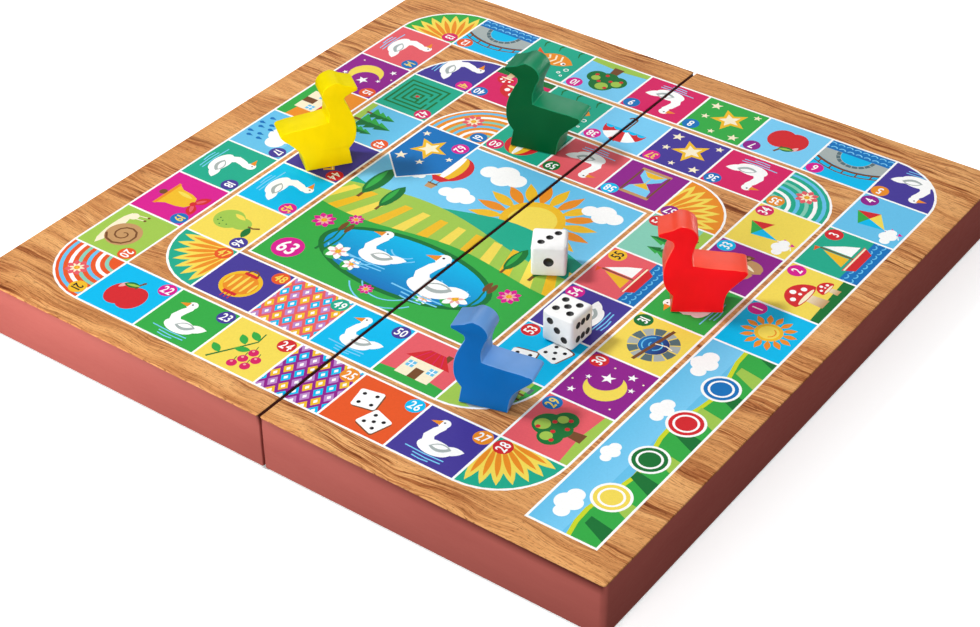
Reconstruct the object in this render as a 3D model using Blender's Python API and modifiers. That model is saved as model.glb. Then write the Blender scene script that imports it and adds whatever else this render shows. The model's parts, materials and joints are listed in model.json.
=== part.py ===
"""A folding board for the game of the goose, with its four geese and two dice.

Two shallow trays, open side down, are hinged along the seam in the middle. Each carries a
printed sheet on top, and folded shut the two make a box that holds the loose pieces.
X runs along the front edge, Y along the seam and Z up, in metres. The origin lies on the
table, under the middle of the seam.
"""

import bpy
import bmesh
from math import radians
from mathutils import Matrix
from mathutils import Vector

# Board
BOARD_SIDE = 0.300
TOP_HEIGHT = 0.026
SEAM_GAP = 0.001
WALL_THICKNESS = 0.006
PANEL_THICKNESS = 0.003
SHEET_THICKNESS = 0.0006
REBATE_WIDTH = 0.003
GAP = 0.0003

# Hinges, with their axis a little below the rims so that the closed rims stay apart
BARREL_RADIUS = 0.0010
BORE_RADIUS = 0.0007
PIN_RADIUS = 0.0004
AXIS_BELOW_RIM = 0.00015
HINGE_LENGTH = 0.024
HINGE_OFFSET = 0.090
LEAF_WIDTH = 0.0052
LEAF_THICKNESS = 0.0007

# Screws of the hinges
SCREW_LENGTH = 0.007
SCREW_TIP_LENGTH = 0.002
SCREW_HEAD_RADIUS = 0.00135
SCREW_SHANK_RADIUS = 0.00065
SCREW_SLOT_WIDTH = 0.00035
SCREW_SLOT_DEPTH = 0.0003
SCREW_INSET = 0.0033
SCREW_SPACING = 0.014

# Closing magnets
MAGNET_RADIUS = 0.0025
MAGNET_HEIGHT = 0.002
MAGNET_OFFSET = 0.100
MAGNET_BEVEL = 0.0002

# Geese
GOOSE_THICKNESS = 0.012
GOOSE_BEVEL = 0.0005

# Dice
DIE_SIDE = 0.014
DIE_BEVEL = 0.0014
PIP_SPACING = 0.0032
PIP_RADIUS = 0.0015
ACE_RADIUS = 0.0021
PIP_DEPTH = 0.0009

# Mesh fineness
ROUND_SEGMENTS = 16
BARREL_SEGMENTS = 24
CURVE_STEPS = 4
PIP_SEGMENTS = 8
PIP_RINGS = 6
CUT_MARGIN = 0.001
CONE_MARGIN = 0.0001
WELD_DISTANCE = 0.00001

# Worked out from the above
HALF_SIDE = BOARD_SIDE / 2
SEAM_EDGE = SEAM_GAP / 2
AXIS_HEIGHT = BARREL_RADIUS
RIM_HEIGHT = AXIS_HEIGHT + AXIS_BELOW_RIM
SHEET_BOTTOM = TOP_HEIGHT - SHEET_THICKNESS
WALL_TOP = SHEET_BOTTOM - GAP
PANEL_BOTTOM = WALL_TOP - PANEL_THICKNESS
REBATE_BOTTOM = PANEL_BOTTOM - GAP
KNUCKLE_LENGTH = (HINGE_LENGTH - 2 * GAP) / 3
KNUCKLE_PITCH = KNUCKLE_LENGTH + GAP
MITRE_CUT = GAP / 2 ** 0.5

# The goose looks towards -X. Each point is (along, up, corner).
GOOSE_OUTLINE = [
    (-0.0100, 0.0000, True),
    (0.0100, 0.0000, True),
    (0.0116, 0.0088, False),
    (0.0155, 0.0136, False),
    (0.0187, 0.0169, False),
    (0.0195, 0.0186, False),
    (0.0170, 0.0197, False),
    (0.0091, 0.0205, False),
    (-0.0012, 0.0216, True),
    (-0.0016, 0.0254, False),
    (-0.0007, 0.0298, False),
    (0.0006, 0.0355, False),
    (-0.0050, 0.0396, False),
    (-0.0094, 0.0377, True),
    (-0.0144, 0.0361, True),
    (-0.0142, 0.0346, True),
    (-0.0110, 0.0335, False),
    (-0.0086, 0.0318, False),
    (-0.0098, 0.0277, False),
    (-0.0117, 0.0230, False),
    (-0.0127, 0.0166, False),
    (-0.0116, 0.0108, False),
    (-0.0091, 0.0075, True),
]

# Each goose as it was sawn and set down: x, y, degrees about Z, lean back as a share of its height, and scale
GEESE = {
    "yellow": (-0.0893, -0.0043, 234.0, 0.015, 1.01),
    "green": (-0.0234, 0.0592, 12.5, 0.055, 1.05),
    "red": (0.0927, -0.0003, 34.0, -0.050, 1.00),
    "blue": (0.0617, -0.0938, 15.2, 0.050, 0.95),
}

# Where each die lies: x, y, then how far it has tumbled about Y and turned about Z
DICE = {
    "back_die": (0.0328, -0.0132, 0.0, 31.0),
    "front_die": (0.0642, -0.0465, 90.0, -90.5),
}

# Spots of each face on a grid of pip spacings
PIPS = {
    1: [(0, 0)],
    2: [(-1, -1), (1, 1)],
    3: [(-1, -1), (0, 0), (1, 1)],
    4: [(-1, -1), (-1, 1), (1, -1), (1, 1)],
    5: [(-1, -1), (-1, 1), (0, 0), (1, -1), (1, 1)],
    6: [(-1, -1), (-1, 0), (-1, 1), (1, -1), (1, 0), (1, 1)],
}

# The face that each count is on before the die is tumbled: axis and degrees that turn +Z to it
FACE_TURNS = {
    1: ("X", 90),
    2: ("Y", 90),
    3: ("Z", 0),
    4: ("X", 180),
    5: ("Y", -90),
    6: ("X", -90),
}

# Colour, roughness and metallic value of each finish
FINISHES = {
    "red_paint": ((0.56, 0.16, 0.14), 0.50, 0.0),
    "bare_board": ((0.62, 0.47, 0.32), 0.75, 0.0),
    "print": ((0.47, 0.25, 0.11), 0.35, 0.0),
    "brass": ((0.78, 0.57, 0.23), 0.30, 1.0),
    "nickel": ((0.70, 0.70, 0.72), 0.25, 1.0),
    "ivory": ((0.88, 0.87, 0.85), 0.25, 0.0),
    "yellow": ((0.92, 0.66, 0.00), 0.40, 0.0),
    "green": ((0.00, 0.15, 0.06), 0.40, 0.0),
    "red": ((0.82, 0.02, 0.02), 0.40, 0.0),
    "blue": ((0.02, 0.15, 0.48), 0.40, 0.0),
}


def clear_scene():
    for item in list(bpy.data.objects):
        bpy.data.objects.remove(item, do_unlink=True)


def add_collection(name):
    collection = bpy.data.collections.new(name)
    bpy.context.scene.collection.children.link(collection)
    return collection


def add_empty(name, location):
    empty = bpy.data.objects.new(name, None)
    empty.location = location
    empty.empty_display_size = WALL_THICKNESS
    PARTS.objects.link(empty)
    return empty


def own_material(name, finish):
    colour, roughness, metallic = FINISHES[finish]
    material = bpy.data.materials.new(name)
    material.use_nodes = True
    shader = material.node_tree.nodes["Principled BSDF"]
    shader.inputs["Base Color"].default_value = (*colour, 1.0)
    shader.inputs["Roughness"].default_value = roughness
    shader.inputs["Metallic"].default_value = metallic
    material.diffuse_color = (*colour, 1.0)
    return material


def follow(item, parent):
    """Parent an object and keep the place it was given."""
    item.parent = parent
    item.matrix_parent_inverse = Matrix.Translation(-parent.location)


def add_part(name, mesh, finish, location=(0, 0, 0), turn=(0, 0, 0), parent=None):
    mesh.materials.append(own_material(name, finish))
    item = bpy.data.objects.new(name, mesh)
    item.location = location
    item.rotation_euler = turn
    PARTS.objects.link(item)
    if parent:
        follow(item, parent)
    return item


def add_cutter(name, mesh, location=(0, 0, 0), turn=(0, 0, 0), parent=None):
    item = bpy.data.objects.new(name, mesh)
    item.location = location
    item.rotation_euler = turn
    item.hide_render = True
    item.display_type = "WIRE"
    CUTTERS.objects.link(item)
    if parent:
        follow(item, parent)
    return item


def combine(item, other, operation="DIFFERENCE"):
    modifier = item.modifiers.new(other.name, "BOOLEAN")
    modifier.operation = operation
    modifier.solver = "EXACT"
    modifier.object = other


def bevel(item, width, segments):
    modifier = item.modifiers.new("rounded_edges", "BEVEL")
    modifier.width = width
    modifier.segments = segments
    modifier.limit_method = "ANGLE"
    modifier.angle_limit = radians(40)


def smooth(mesh, sharp_degrees=35):
    mesh.shade_smooth()
    mesh.set_sharp_from_angle(angle=radians(sharp_degrees))


def mesh_from(build):
    """A new mesh from one bmesh operation."""
    mesh = bpy.data.meshes.new("shape")
    shape = bmesh.new()
    build(shape)
    shape.to_mesh(mesh)
    shape.free()
    return mesh


def box(size):
    scale = Matrix.Diagonal((*size, 1.0))
    return mesh_from(lambda shape: bmesh.ops.create_cube(shape, size=1.0, matrix=scale))


def cone(bottom_radius, top_radius, height, segments=ROUND_SEGMENTS):
    return mesh_from(lambda shape: bmesh.ops.create_cone(
        shape, cap_ends=True, segments=segments,
        radius1=bottom_radius, radius2=top_radius, depth=height))


def cylinder(radius, height, segments=ROUND_SEGMENTS):
    return cone(radius, radius, height, segments)


def solid_from_curve(curve):
    """The closed mesh of a filled and extruded outline, with its caps welded on."""
    outline = bpy.data.objects.new("outline", curve)
    bpy.context.scene.collection.objects.link(outline)
    graph = bpy.context.evaluated_depsgraph_get()
    mesh = bpy.data.meshes.new_from_object(outline.evaluated_get(graph))
    bpy.data.objects.remove(outline, do_unlink=True)
    shape = bmesh.new()
    shape.from_mesh(mesh)
    bmesh.ops.remove_doubles(shape, verts=shape.verts, dist=WELD_DISTANCE)
    shape.to_mesh(mesh)
    shape.free()
    return mesh


def flat_curve(thickness):
    curve = bpy.data.curves.new("outline", "CURVE")
    curve.dimensions = "2D"
    curve.fill_mode = "BOTH"
    curve.extrude = thickness / 2
    curve.resolution_u = CURVE_STEPS
    return curve


def straight_outline(corners, thickness):
    curve = flat_curve(thickness)
    spline = curve.splines.new("POLY")
    spline.points.add(len(corners) - 1)
    for point, (x, y) in zip(spline.points, corners):
        point.co = (x, y, 0, 1)
    spline.use_cyclic_u = True
    return solid_from_curve(curve)


def goose_solid(lean, scale):
    curve = flat_curve(scale * GOOSE_THICKNESS)
    spline = curve.splines.new("BEZIER")
    spline.bezier_points.add(len(GOOSE_OUTLINE) - 1)
    for point, (along, up, corner) in zip(spline.bezier_points, GOOSE_OUTLINE):
        point.co = (scale * (along + lean * up), scale * up, 0)
        handle = "VECTOR" if corner else "AUTO"
        point.handle_left_type = handle
        point.handle_right_type = handle
    spline.use_cyclic_u = True
    return solid_from_curve(curve)


def screw_solid():
    """Countersunk screw with its head at the bottom, turned about Z."""
    profile = [
        (0, SCREW_LENGTH),
        (SCREW_SHANK_RADIUS, SCREW_LENGTH - SCREW_TIP_LENGTH),
        (SCREW_SHANK_RADIUS, LEAF_THICKNESS),
        (SCREW_HEAD_RADIUS, 0),
        (0, 0),
    ]
    points = [(radius, 0, height) for radius, height in profile]
    edges = [(i, i + 1) for i in range(len(points) - 1)]
    mesh = bpy.data.meshes.new("screw")
    mesh.from_pydata(points, edges, [])
    return mesh


def add_screw(name, location, parent):
    screw = add_part(name, screw_solid(), "brass", location, parent=parent)
    turned = screw.modifiers.new("turned", "SCREW")
    turned.steps = ROUND_SEGMENTS
    turned.render_steps = ROUND_SEGMENTS
    turned.use_merge_vertices = True
    turned.merge_threshold = WELD_DISTANCE
    slot_size = (4 * SCREW_HEAD_RADIUS, SCREW_SLOT_WIDTH, 2 * SCREW_SLOT_DEPTH)
    combine(screw, add_cutter(name + "_slot", box(slot_size), location, parent=parent))


def wall_outline(half, wall):
    """Plan of one wall, mitred at both ends: outer edge first, then inner edge."""
    side = half["side"]
    x_out = side * HALF_SIDE
    x_seam = side * SEAM_EDGE
    depth = WALL_THICKNESS
    if wall == "outer":
        ends = [(x_out, -HALF_SIDE), (x_out, HALF_SIDE)]
        inward = (-side, 0)
    elif wall == "hinge":
        ends = [(x_seam, -HALF_SIDE), (x_seam, HALF_SIDE)]
        inward = (side, 0)
    elif wall == "front":
        ends = [(x_seam, -HALF_SIDE), (x_out, -HALF_SIDE)]
        inward = (0, 1)
    else:
        ends = [(x_seam, HALF_SIDE), (x_out, HALF_SIDE)]
        inward = (0, -1)
    start, end = (Vector(point) for point in ends)
    along = (end - start).normalized()
    into = Vector(inward) * depth
    start += along * MITRE_CUT
    end -= along * MITRE_CUT
    return [start, end, end + into - along * depth, start + into + along * depth]


def wall_centre(half, wall):
    middle_x = half["side"] * (HALF_SIDE + SEAM_EDGE) / 2
    return {
        "outer": (half["side"] * (HALF_SIDE - WALL_THICKNESS / 2), 0),
        "hinge": (half["side"] * (SEAM_EDGE + WALL_THICKNESS / 2), 0),
        "front": (middle_x, -HALF_SIDE + WALL_THICKNESS / 2),
        "back": (middle_x, HALF_SIDE - WALL_THICKNESS / 2),
    }[wall]


def add_wall(half, wall):
    name = half["name"] + "_" + wall + "_wall"
    height = WALL_TOP - RIM_HEIGHT
    mesh = straight_outline(wall_outline(half, wall), height)
    middle = (0, 0, RIM_HEIGHT + height / 2)
    part = add_part(name, mesh, "red_paint", middle, parent=half["pivot"])
    combine(part, half["rebate"])
    return part


def add_rebate_cutter(half):
    """The step inside the wall tops that the panel lies in."""
    inset = WALL_THICKNESS - REBATE_WIDTH
    width = HALF_SIDE - SEAM_EDGE - 2 * inset
    height = WALL_TOP - REBATE_BOTTOM + CUT_MARGIN
    centre = (half["side"] * (HALF_SIDE + SEAM_EDGE) / 2, 0, REBATE_BOTTOM + height / 2)
    mesh = box((width, BOARD_SIDE - 2 * inset, height))
    return add_cutter(half["name"] + "_rebate", mesh, centre, parent=half["pivot"])


def add_panel_and_sheet(half):
    inset = WALL_THICKNESS - REBATE_WIDTH + GAP
    width = HALF_SIDE - SEAM_EDGE
    middle_x = half["side"] * (HALF_SIDE + SEAM_EDGE) / 2
    panel_size = (width - 2 * inset, BOARD_SIDE - 2 * inset, PANEL_THICKNESS)
    panel_middle = (middle_x, 0, PANEL_BOTTOM + PANEL_THICKNESS / 2)
    add_part(half["name"] + "_top_panel", box(panel_size), "bare_board", panel_middle,
             parent=half["pivot"])
    sheet_size = (width, BOARD_SIDE, SHEET_THICKNESS)
    sheet_middle = (middle_x, 0, SHEET_BOTTOM + SHEET_THICKNESS / 2)
    add_part(half["name"] + "_print_sheet", box(sheet_size), "print", sheet_middle,
             parent=half["pivot"])


def add_magnets(half, outer_wall):
    x = wall_centre(half, "outer")[0]
    pocket_depth = MAGNET_HEIGHT + GAP + CUT_MARGIN
    for place, y in (("front", -MAGNET_OFFSET), ("back", MAGNET_OFFSET)):
        name = half["name"] + "_" + place + "_magnet"
        pocket_middle = (x, y, RIM_HEIGHT - CUT_MARGIN + pocket_depth / 2)
        pocket = cylinder(MAGNET_RADIUS + GAP, pocket_depth)
        combine(outer_wall, add_cutter(name + "_pocket", pocket, pocket_middle, parent=half["pivot"]))
        mesh = cylinder(MAGNET_RADIUS, MAGNET_HEIGHT)
        smooth(mesh)
        magnet_middle = (x, y, RIM_HEIGHT + MAGNET_HEIGHT / 2)
        magnet = add_part(name, mesh, "nickel", magnet_middle, parent=half["pivot"])
        bevel(magnet, MAGNET_BEVEL, 1)


def knuckle_centres(half):
    """The left leaf has the two end knuckles and the right leaf the one between them."""
    if half["side"] < 0:
        return [-KNUCKLE_PITCH, KNUCKLE_PITCH]
    return [0]


def cut_hinge_seat(half, hinge_wall, hinge, y):
    """Seat of a leaf in the rim, room for the barrel, and pilot holes for the screws."""
    seat_length = HINGE_LENGTH + 2 * GAP
    seat_width = LEAF_WIDTH + GAP
    seat_height = LEAF_THICKNESS + GAP + CUT_MARGIN
    seat_middle = (half["side"] * seat_width / 2, y, RIM_HEIGHT - CUT_MARGIN + seat_height / 2)
    seat = box((seat_width, seat_length, seat_height))
    combine(hinge_wall, add_cutter(hinge + "_seat", seat, seat_middle, parent=half["pivot"]))
    room = 2 * (BARREL_RADIUS + GAP)
    barrel_middle = (0, y, AXIS_HEIGHT)
    barrel_room = box((room, seat_length, room))
    combine(hinge_wall, add_cutter(hinge + "_barrel_room", barrel_room, barrel_middle,
                                   parent=half["pivot"]))
    pilot_depth = SCREW_LENGTH + GAP + CUT_MARGIN
    for number, (x, screw_y) in enumerate(screw_places(half, y), start=1):
        pilot_middle = (x, screw_y, RIM_HEIGHT - CUT_MARGIN + pilot_depth / 2)
        pilot = cylinder(SCREW_SHANK_RADIUS + GAP, pilot_depth)
        combine(hinge_wall, add_cutter(hinge + "_pilot_" + str(number), pilot, pilot_middle,
                                       parent=half["pivot"]))


def screw_places(half, y):
    x = half["side"] * SCREW_INSET
    return [(x, y - SCREW_SPACING / 2), (x, y + SCREW_SPACING / 2)]


def add_leaf(half, other_half, hinge, y):
    """A hinge leaf: a plate with its knuckles, bored for the pin and countersunk."""
    pivot = half["pivot"]
    plate_middle = (half["side"] * LEAF_WIDTH / 2, y, RIM_HEIGHT + LEAF_THICKNESS / 2)
    plate = box((LEAF_WIDTH, HINGE_LENGTH, LEAF_THICKNESS))
    leaf = add_part(hinge + "_leaf", plate, "brass", plate_middle, parent=pivot)
    along_seam = (radians(90), 0, 0)
    clearance = 2 * (BARREL_RADIUS + GAP)
    for number, offset in enumerate(knuckle_centres(other_half), start=1):
        gap_box = box((clearance, KNUCKLE_LENGTH + 2 * GAP, clearance))
        combine(leaf, add_cutter(hinge + "_gap_" + str(number), gap_box, (0, y + offset, AXIS_HEIGHT),
                                 parent=pivot))
    for number, offset in enumerate(knuckle_centres(half), start=1):
        tube = cylinder(BARREL_RADIUS, KNUCKLE_LENGTH, BARREL_SEGMENTS)
        knuckle = add_cutter(hinge + "_knuckle_" + str(number), tube, (0, y + offset, AXIS_HEIGHT),
                             along_seam, parent=pivot)
        combine(leaf, knuckle, "UNION")
    bore = cylinder(BORE_RADIUS, HINGE_LENGTH + 2 * CUT_MARGIN)
    combine(leaf, add_cutter(hinge + "_bore", bore, (0, y, AXIS_HEIGHT), along_seam, parent=pivot))
    sink_height = LEAF_THICKNESS + 2 * CONE_MARGIN
    for number, (x, screw_y) in enumerate(screw_places(half, y), start=1):
        sink = cone(SCREW_HEAD_RADIUS + GAP + CONE_MARGIN, SCREW_SHANK_RADIUS + GAP - CONE_MARGIN,
                    sink_height)
        sink_middle = (x, screw_y, RIM_HEIGHT + LEAF_THICKNESS / 2)
        combine(leaf, add_cutter(hinge + "_sink_" + str(number), sink, sink_middle, parent=pivot))
        add_screw(hinge + "_screw_" + str(number), (x, screw_y, RIM_HEIGHT), pivot)


def add_pin(name, y, parent):
    mesh = cylinder(PIN_RADIUS, HINGE_LENGTH)
    smooth(mesh)
    add_part(name, mesh, "nickel", (0, y, AXIS_HEIGHT), (radians(90), 0, 0), parent)


def add_half(name, side, pivot):
    half = {"name": name, "side": side, "pivot": pivot}
    half["rebate"] = add_rebate_cutter(half)
    walls = {wall: add_wall(half, wall) for wall in ("front", "back", "outer", "hinge")}
    half["hinge_wall"] = walls["hinge"]
    add_panel_and_sheet(half)
    add_magnets(half, walls["outer"])
    return half


def add_hinges(left, right):
    for place, y in (("front", -HINGE_OFFSET), ("back", HINGE_OFFSET)):
        for half, other_half in ((left, right), (right, left)):
            hinge = place + "_hinge_" + half["name"]
            cut_hinge_seat(half, half["hinge_wall"], hinge, y)
            add_leaf(half, other_half, hinge, y)
        add_pin(place + "_hinge_pin", y, left["pivot"])


def add_geese():
    for colour, (x, y, degrees, lean, scale) in GEESE.items():
        mesh = goose_solid(lean, scale)
        smooth(mesh)
        turn = (radians(90), 0, radians(degrees))
        goose = add_part(colour + "_goose", mesh, colour, (x, y, TOP_HEIGHT + GAP), turn)
        bevel(goose, GOOSE_BEVEL, 1)


def pip_cutter():
    """Balls that dip into the faces, one for each spot, about the middle of the die."""
    def build(shape):
        for count, (axis, degrees) in FACE_TURNS.items():
            turn = Matrix.Rotation(radians(degrees), 4, axis)
            radius = ACE_RADIUS if count == 1 else PIP_RADIUS
            ball_radius = (radius ** 2 + PIP_DEPTH ** 2) / (2 * PIP_DEPTH)
            height = DIE_SIDE / 2 + ball_radius - PIP_DEPTH
            for column, row in PIPS[count]:
                lift = Matrix.Translation((column * PIP_SPACING, row * PIP_SPACING, height))
                bmesh.ops.create_uvsphere(shape, u_segments=PIP_SEGMENTS, v_segments=PIP_RINGS,
                                          radius=ball_radius, matrix=turn @ lift)
    return mesh_from(build)


def add_dice():
    for name, (x, y, tumbled, turned) in DICE.items():
        middle = (x, y, TOP_HEIGHT + GAP + DIE_SIDE / 2)
        turn = (0, radians(tumbled), radians(turned))
        die = add_part(name, box((DIE_SIDE, DIE_SIDE, DIE_SIDE)), "ivory", middle, turn)
        bevel(die, DIE_BEVEL, 3)
        combine(die, add_cutter(name + "_pips", pip_cutter(), middle, turn))


clear_scene()
PARTS = add_collection("game_of_the_goose")
CUTTERS = add_collection("cutters")
left_half = add_half("left", -1, add_empty("left_half", (0, 0, 0)))
right_half = add_half("right", 1, add_empty("right_half_pivot", (0, 0, AXIS_HEIGHT)))
add_hinges(left_half, right_half)
add_geese()
add_dice()
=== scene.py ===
"""Looks of a folding game of the goose board: printed faces, painted case, pawns, dice and hinges."""
import cmath
import json
import math
from functools import partial

import bmesh
import bpy
from mathutils import Matrix, Quaternion, Vector
from mathutils.geometry import delaunay_2d_cdt


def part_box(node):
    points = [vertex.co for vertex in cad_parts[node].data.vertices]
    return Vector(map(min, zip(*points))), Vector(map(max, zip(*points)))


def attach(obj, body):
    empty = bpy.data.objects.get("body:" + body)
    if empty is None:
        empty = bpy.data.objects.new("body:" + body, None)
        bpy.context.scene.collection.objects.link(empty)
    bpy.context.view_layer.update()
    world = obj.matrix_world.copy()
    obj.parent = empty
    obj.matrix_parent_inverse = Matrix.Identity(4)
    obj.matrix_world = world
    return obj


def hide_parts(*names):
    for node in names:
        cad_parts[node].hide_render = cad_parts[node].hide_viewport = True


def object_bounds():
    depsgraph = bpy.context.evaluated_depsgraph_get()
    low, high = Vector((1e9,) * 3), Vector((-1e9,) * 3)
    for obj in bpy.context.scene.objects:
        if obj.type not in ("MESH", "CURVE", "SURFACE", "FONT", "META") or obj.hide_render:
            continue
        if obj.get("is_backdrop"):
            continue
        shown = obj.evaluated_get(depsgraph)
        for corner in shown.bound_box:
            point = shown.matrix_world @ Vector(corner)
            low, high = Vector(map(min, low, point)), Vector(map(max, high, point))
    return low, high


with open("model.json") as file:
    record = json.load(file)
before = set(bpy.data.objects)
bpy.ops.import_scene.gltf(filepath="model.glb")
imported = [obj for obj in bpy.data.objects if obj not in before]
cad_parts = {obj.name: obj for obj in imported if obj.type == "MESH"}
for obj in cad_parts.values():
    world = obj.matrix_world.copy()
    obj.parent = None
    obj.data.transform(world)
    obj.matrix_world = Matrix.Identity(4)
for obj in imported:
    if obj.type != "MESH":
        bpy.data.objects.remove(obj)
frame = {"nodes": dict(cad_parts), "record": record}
cad_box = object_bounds()
NODES = frame["nodes"]
SIDES = ("left", "right")

# Camera, as the board was seen: place and aim in metres
CAMERA_PLACE = Vector((0.41231, -0.56730, 0.50621))
CAMERA_AIM = Vector((0.03169, -0.05157, 0.02600))
CAMERA_ROLL = -0.533
CAMERA_LENS = 76.58

# Board edges in metres
WALL = 0.006
FIT_GAP = 0.0003
MAGNET_GAP = 0.00005
MAGNET_SIDES = 48
PRINT_CORNER = 0.0011
CASE_CORNER = 0.0024
SEAM_CORNER = 0.0005
SMALLEST_CORNER = 0.0001
CORNER_STEPS = 5
SHEET_EDGE = 0.0003
CASE_EDGE = 0.0004
EDGE_STEPS = 3
SEAM_TRIM = 0.0002
FRONT_OVERHANG = 0.0005
SIDE_OVERHANG = 0.0002
WELD = 1e-6

# Track print: one unit is one ninth of the track's side
TRACK_UNIT = 0.030294
TRACK_CELLS = 9.0
TRACK_MIDDLE = complex(0.0016, -0.0006)
TRACK_CORNER = TRACK_MIDDLE - complex(1, 1) * TRACK_CELLS / 2 * TRACK_UNIT
CELL_DEPTH = 0.95
RINGS = 3
RING_PITCH = 1.043
START_LENGTH = 4.02
LINE = 0.032
LAST_CELL = 62
LAST_SHOULDER = 1.95
LAST_TIP = 2.42
GOAL_SIZE = 1.8
GOAL_INSET = 0.2
BACKWARD_CORNER = 21
BACKWARD_INSET = 0.045
ROUNDEL_RADIUS = 0.127
ROUNDEL_INSET = 0.145
DIGIT_HEIGHT = 0.150
DIGIT_STRETCH = 0.78
DIGIT_WEIGHT = 0.018
DIGIT_GAP = 0.10
DIGIT_STEPS = 3
PETAL_STEPS = 7
PAST_EDGE = 0.6
INNER_CORNER = 0.46
CUT_TOLERANCE = 1e-5

# Dice: node, tumble about Y and turn about Z in degrees
DICE = [("back_die", 0.0, 31.0), ("front_die", 90.0, -90.5)]
DIE_BEVEL = 0.0014
DIE_BEVEL_STEPS = 6
PIP_SPACING = 0.0032
PIP_RADIUS = 0.0015
ACE_RADIUS = 0.0021
PIP_DEPTH = 0.0009
PIPS = {
    1: [(0, 0)],
    2: [(-1, -1), (1, 1)],
    3: [(-1, -1), (0, 0), (1, 1)],
    4: [(-1, -1), (-1, 1), (1, -1), (1, 1)],
    5: [(-1, -1), (-1, 1), (0, 0), (1, -1), (1, 1)],
    6: [(-1, -1), (-1, 0), (-1, 1), (1, -1), (1, 0), (1, 1)],
}
FACE_TURNS = {1: ("X", 90), 2: ("Y", 90), 3: ("Z", 0), 4: ("X", 180), 5: ("Y", -90), 6: ("X", -90)}

# Which layer of the grain noise the print shows, and how far the grain sways to each side
GRAIN_LAYER = 41.7
GRAIN_SWAY = 0.006

# Fine edges of the pawns, and how level a face is with a pawn's sides to count as one
PAWN_ROUNDING = 0.0004
PAWN_ROUNDING_STEPS = 3
FLAT_COSINE = 0.99

# Faces that meet at less than these angles, in degrees, are shaded as one
BOARD_SMOOTH = 30
PAWN_SMOOTH = 40
DIE_SMOOTH = 35

# Paint of each pawn's flat sides and of its paler sawn edges, as a screen shows them, and the edges' gloss;
# the edges' paler colour is a painted highlight for the sheen and brighter light on the tops
PAWN_PAINTS_AND_SHEEN = {
    "yellow": ((255, 218, 0), (255, 232, 4), 0.03),
    "green": ((0, 86, 44), (4, 138, 92), 0.36),
    "red": ((252, 20, 28), (254, 74, 44), 0.45),
    "blue": ((10, 104, 182), (98, 152, 216), 0.45),
}
FLAT_GLOSS = 0.08

# Light: name, place, aim, size and watts
SKY_STRENGTH = 0.20
SKY_HORIZON = 0.02
FLOOR_HALF = 12.0
FLOOR_GLOW = 0.56
LIGHTS = [
    ("key_light", (-1.60, -0.55, 2.05), (0, 0, 0), 0.5, 47.5),
    ("front_light", (0.25, -1.55, 0.65), (0, 0, 0), 1.0, 15.3),
    ("back_light", (-0.75, 1.05, 0.95), (0, 0, 0), 1.2, 5.5),
    ("rear_light", (0.35, 1.70, 0.16), (0, 0.15, 0.013), 0.6, 4.6),
    ("side_light", (1.40, 0.30, 0.25), (0.15, 0, 0.01), 0.6, 3.2),
    ("wall_light", (-0.15, -0.35, 0.018), (-0.12, -0.15, 0.013), 0.02, 0.38),
]
PAWN_LIGHT = ("pawn_light", (0.78, -0.52, 2.42), (0, 0, 0), 0.5, 31.0)


def screen(*levels):
    """A linear colour from the 0 to 255 values that a screen shows."""
    shares = [level / 255 for level in levels]
    linear = [v / 12.92 if v <= 0.04045 else ((v + 0.055) / 1.055) ** 2.4 for v in shares]
    return (*linear, 1.0)


WHITE = screen(255, 255, 255)
BLACK = screen(0, 0, 0)
INK = {
    "white": screen(254, 254, 252), "cream": screen(250, 238, 205), "cyan": screen(0, 186, 236),
    "sky": screen(103, 193, 234), "pale": screen(122, 204, 243), "blue": screen(23, 115, 188),
    "indigo": screen(71, 59, 151), "navy": screen(42, 46, 107), "coral": screen(230, 94, 103),
    "blush": screen(239, 172, 170), "teal": screen(33, 170, 139), "mint": screen(134, 205, 182),
    "green": screen(54, 170, 71), "leaf": screen(27, 115, 54), "lime": screen(161, 199, 80),
    "acid": screen(205, 216, 42), "yellow": screen(243, 218, 88), "gold": screen(239, 188, 42),
    "orange": screen(235, 142, 38), "flame": screen(230, 88, 38), "red": screen(212, 42, 48),
    "crimson": screen(216, 36, 100), "magenta": screen(216, 29, 144), "purple": screen(144, 33, 140),
    "lilac": screen(188, 136, 199), "brown": screen(119, 75, 44), "tan": screen(197, 151, 100),
    "stone": screen(168, 178, 176), "slate": screen(88, 111, 117), "black": screen(34, 30, 34),
}

# Painted shade on the wall paint: a tint by height, dark under the print's edge where its overhang throws
# shade, and how much of it shows by place along X, most towards the near corner and at the top of the seam
WALL_PAINTED_SHADE = [
    (0.0000, WHITE),
    (0.0204, WHITE),
    (0.0232, screen(200, 190, 188)),
    (0.0245, screen(140, 126, 124)),
    (0.0251, screen(122, 108, 106)),
]
WALL_SHADE_SHARE = [
    (-0.0800, BLACK),
    (-0.0016, screen(90, 90, 90)),
    (-0.0010, WHITE),
    (0.0010, WHITE),
    (0.0016, screen(90, 90, 90)),
    (0.1300, WHITE),
    (0.1488, WHITE),
    (0.1494, BLACK),
]
UNDER_SEAM_X = [(-0.0016, BLACK), (-0.0014, WHITE), (0.0014, WHITE), (0.0016, BLACK)]
UNDER_SEAM_Y = [(-0.1500, BLACK), (-0.1480, WHITE), (0.1480, WHITE), (0.1500, BLACK)]


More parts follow.
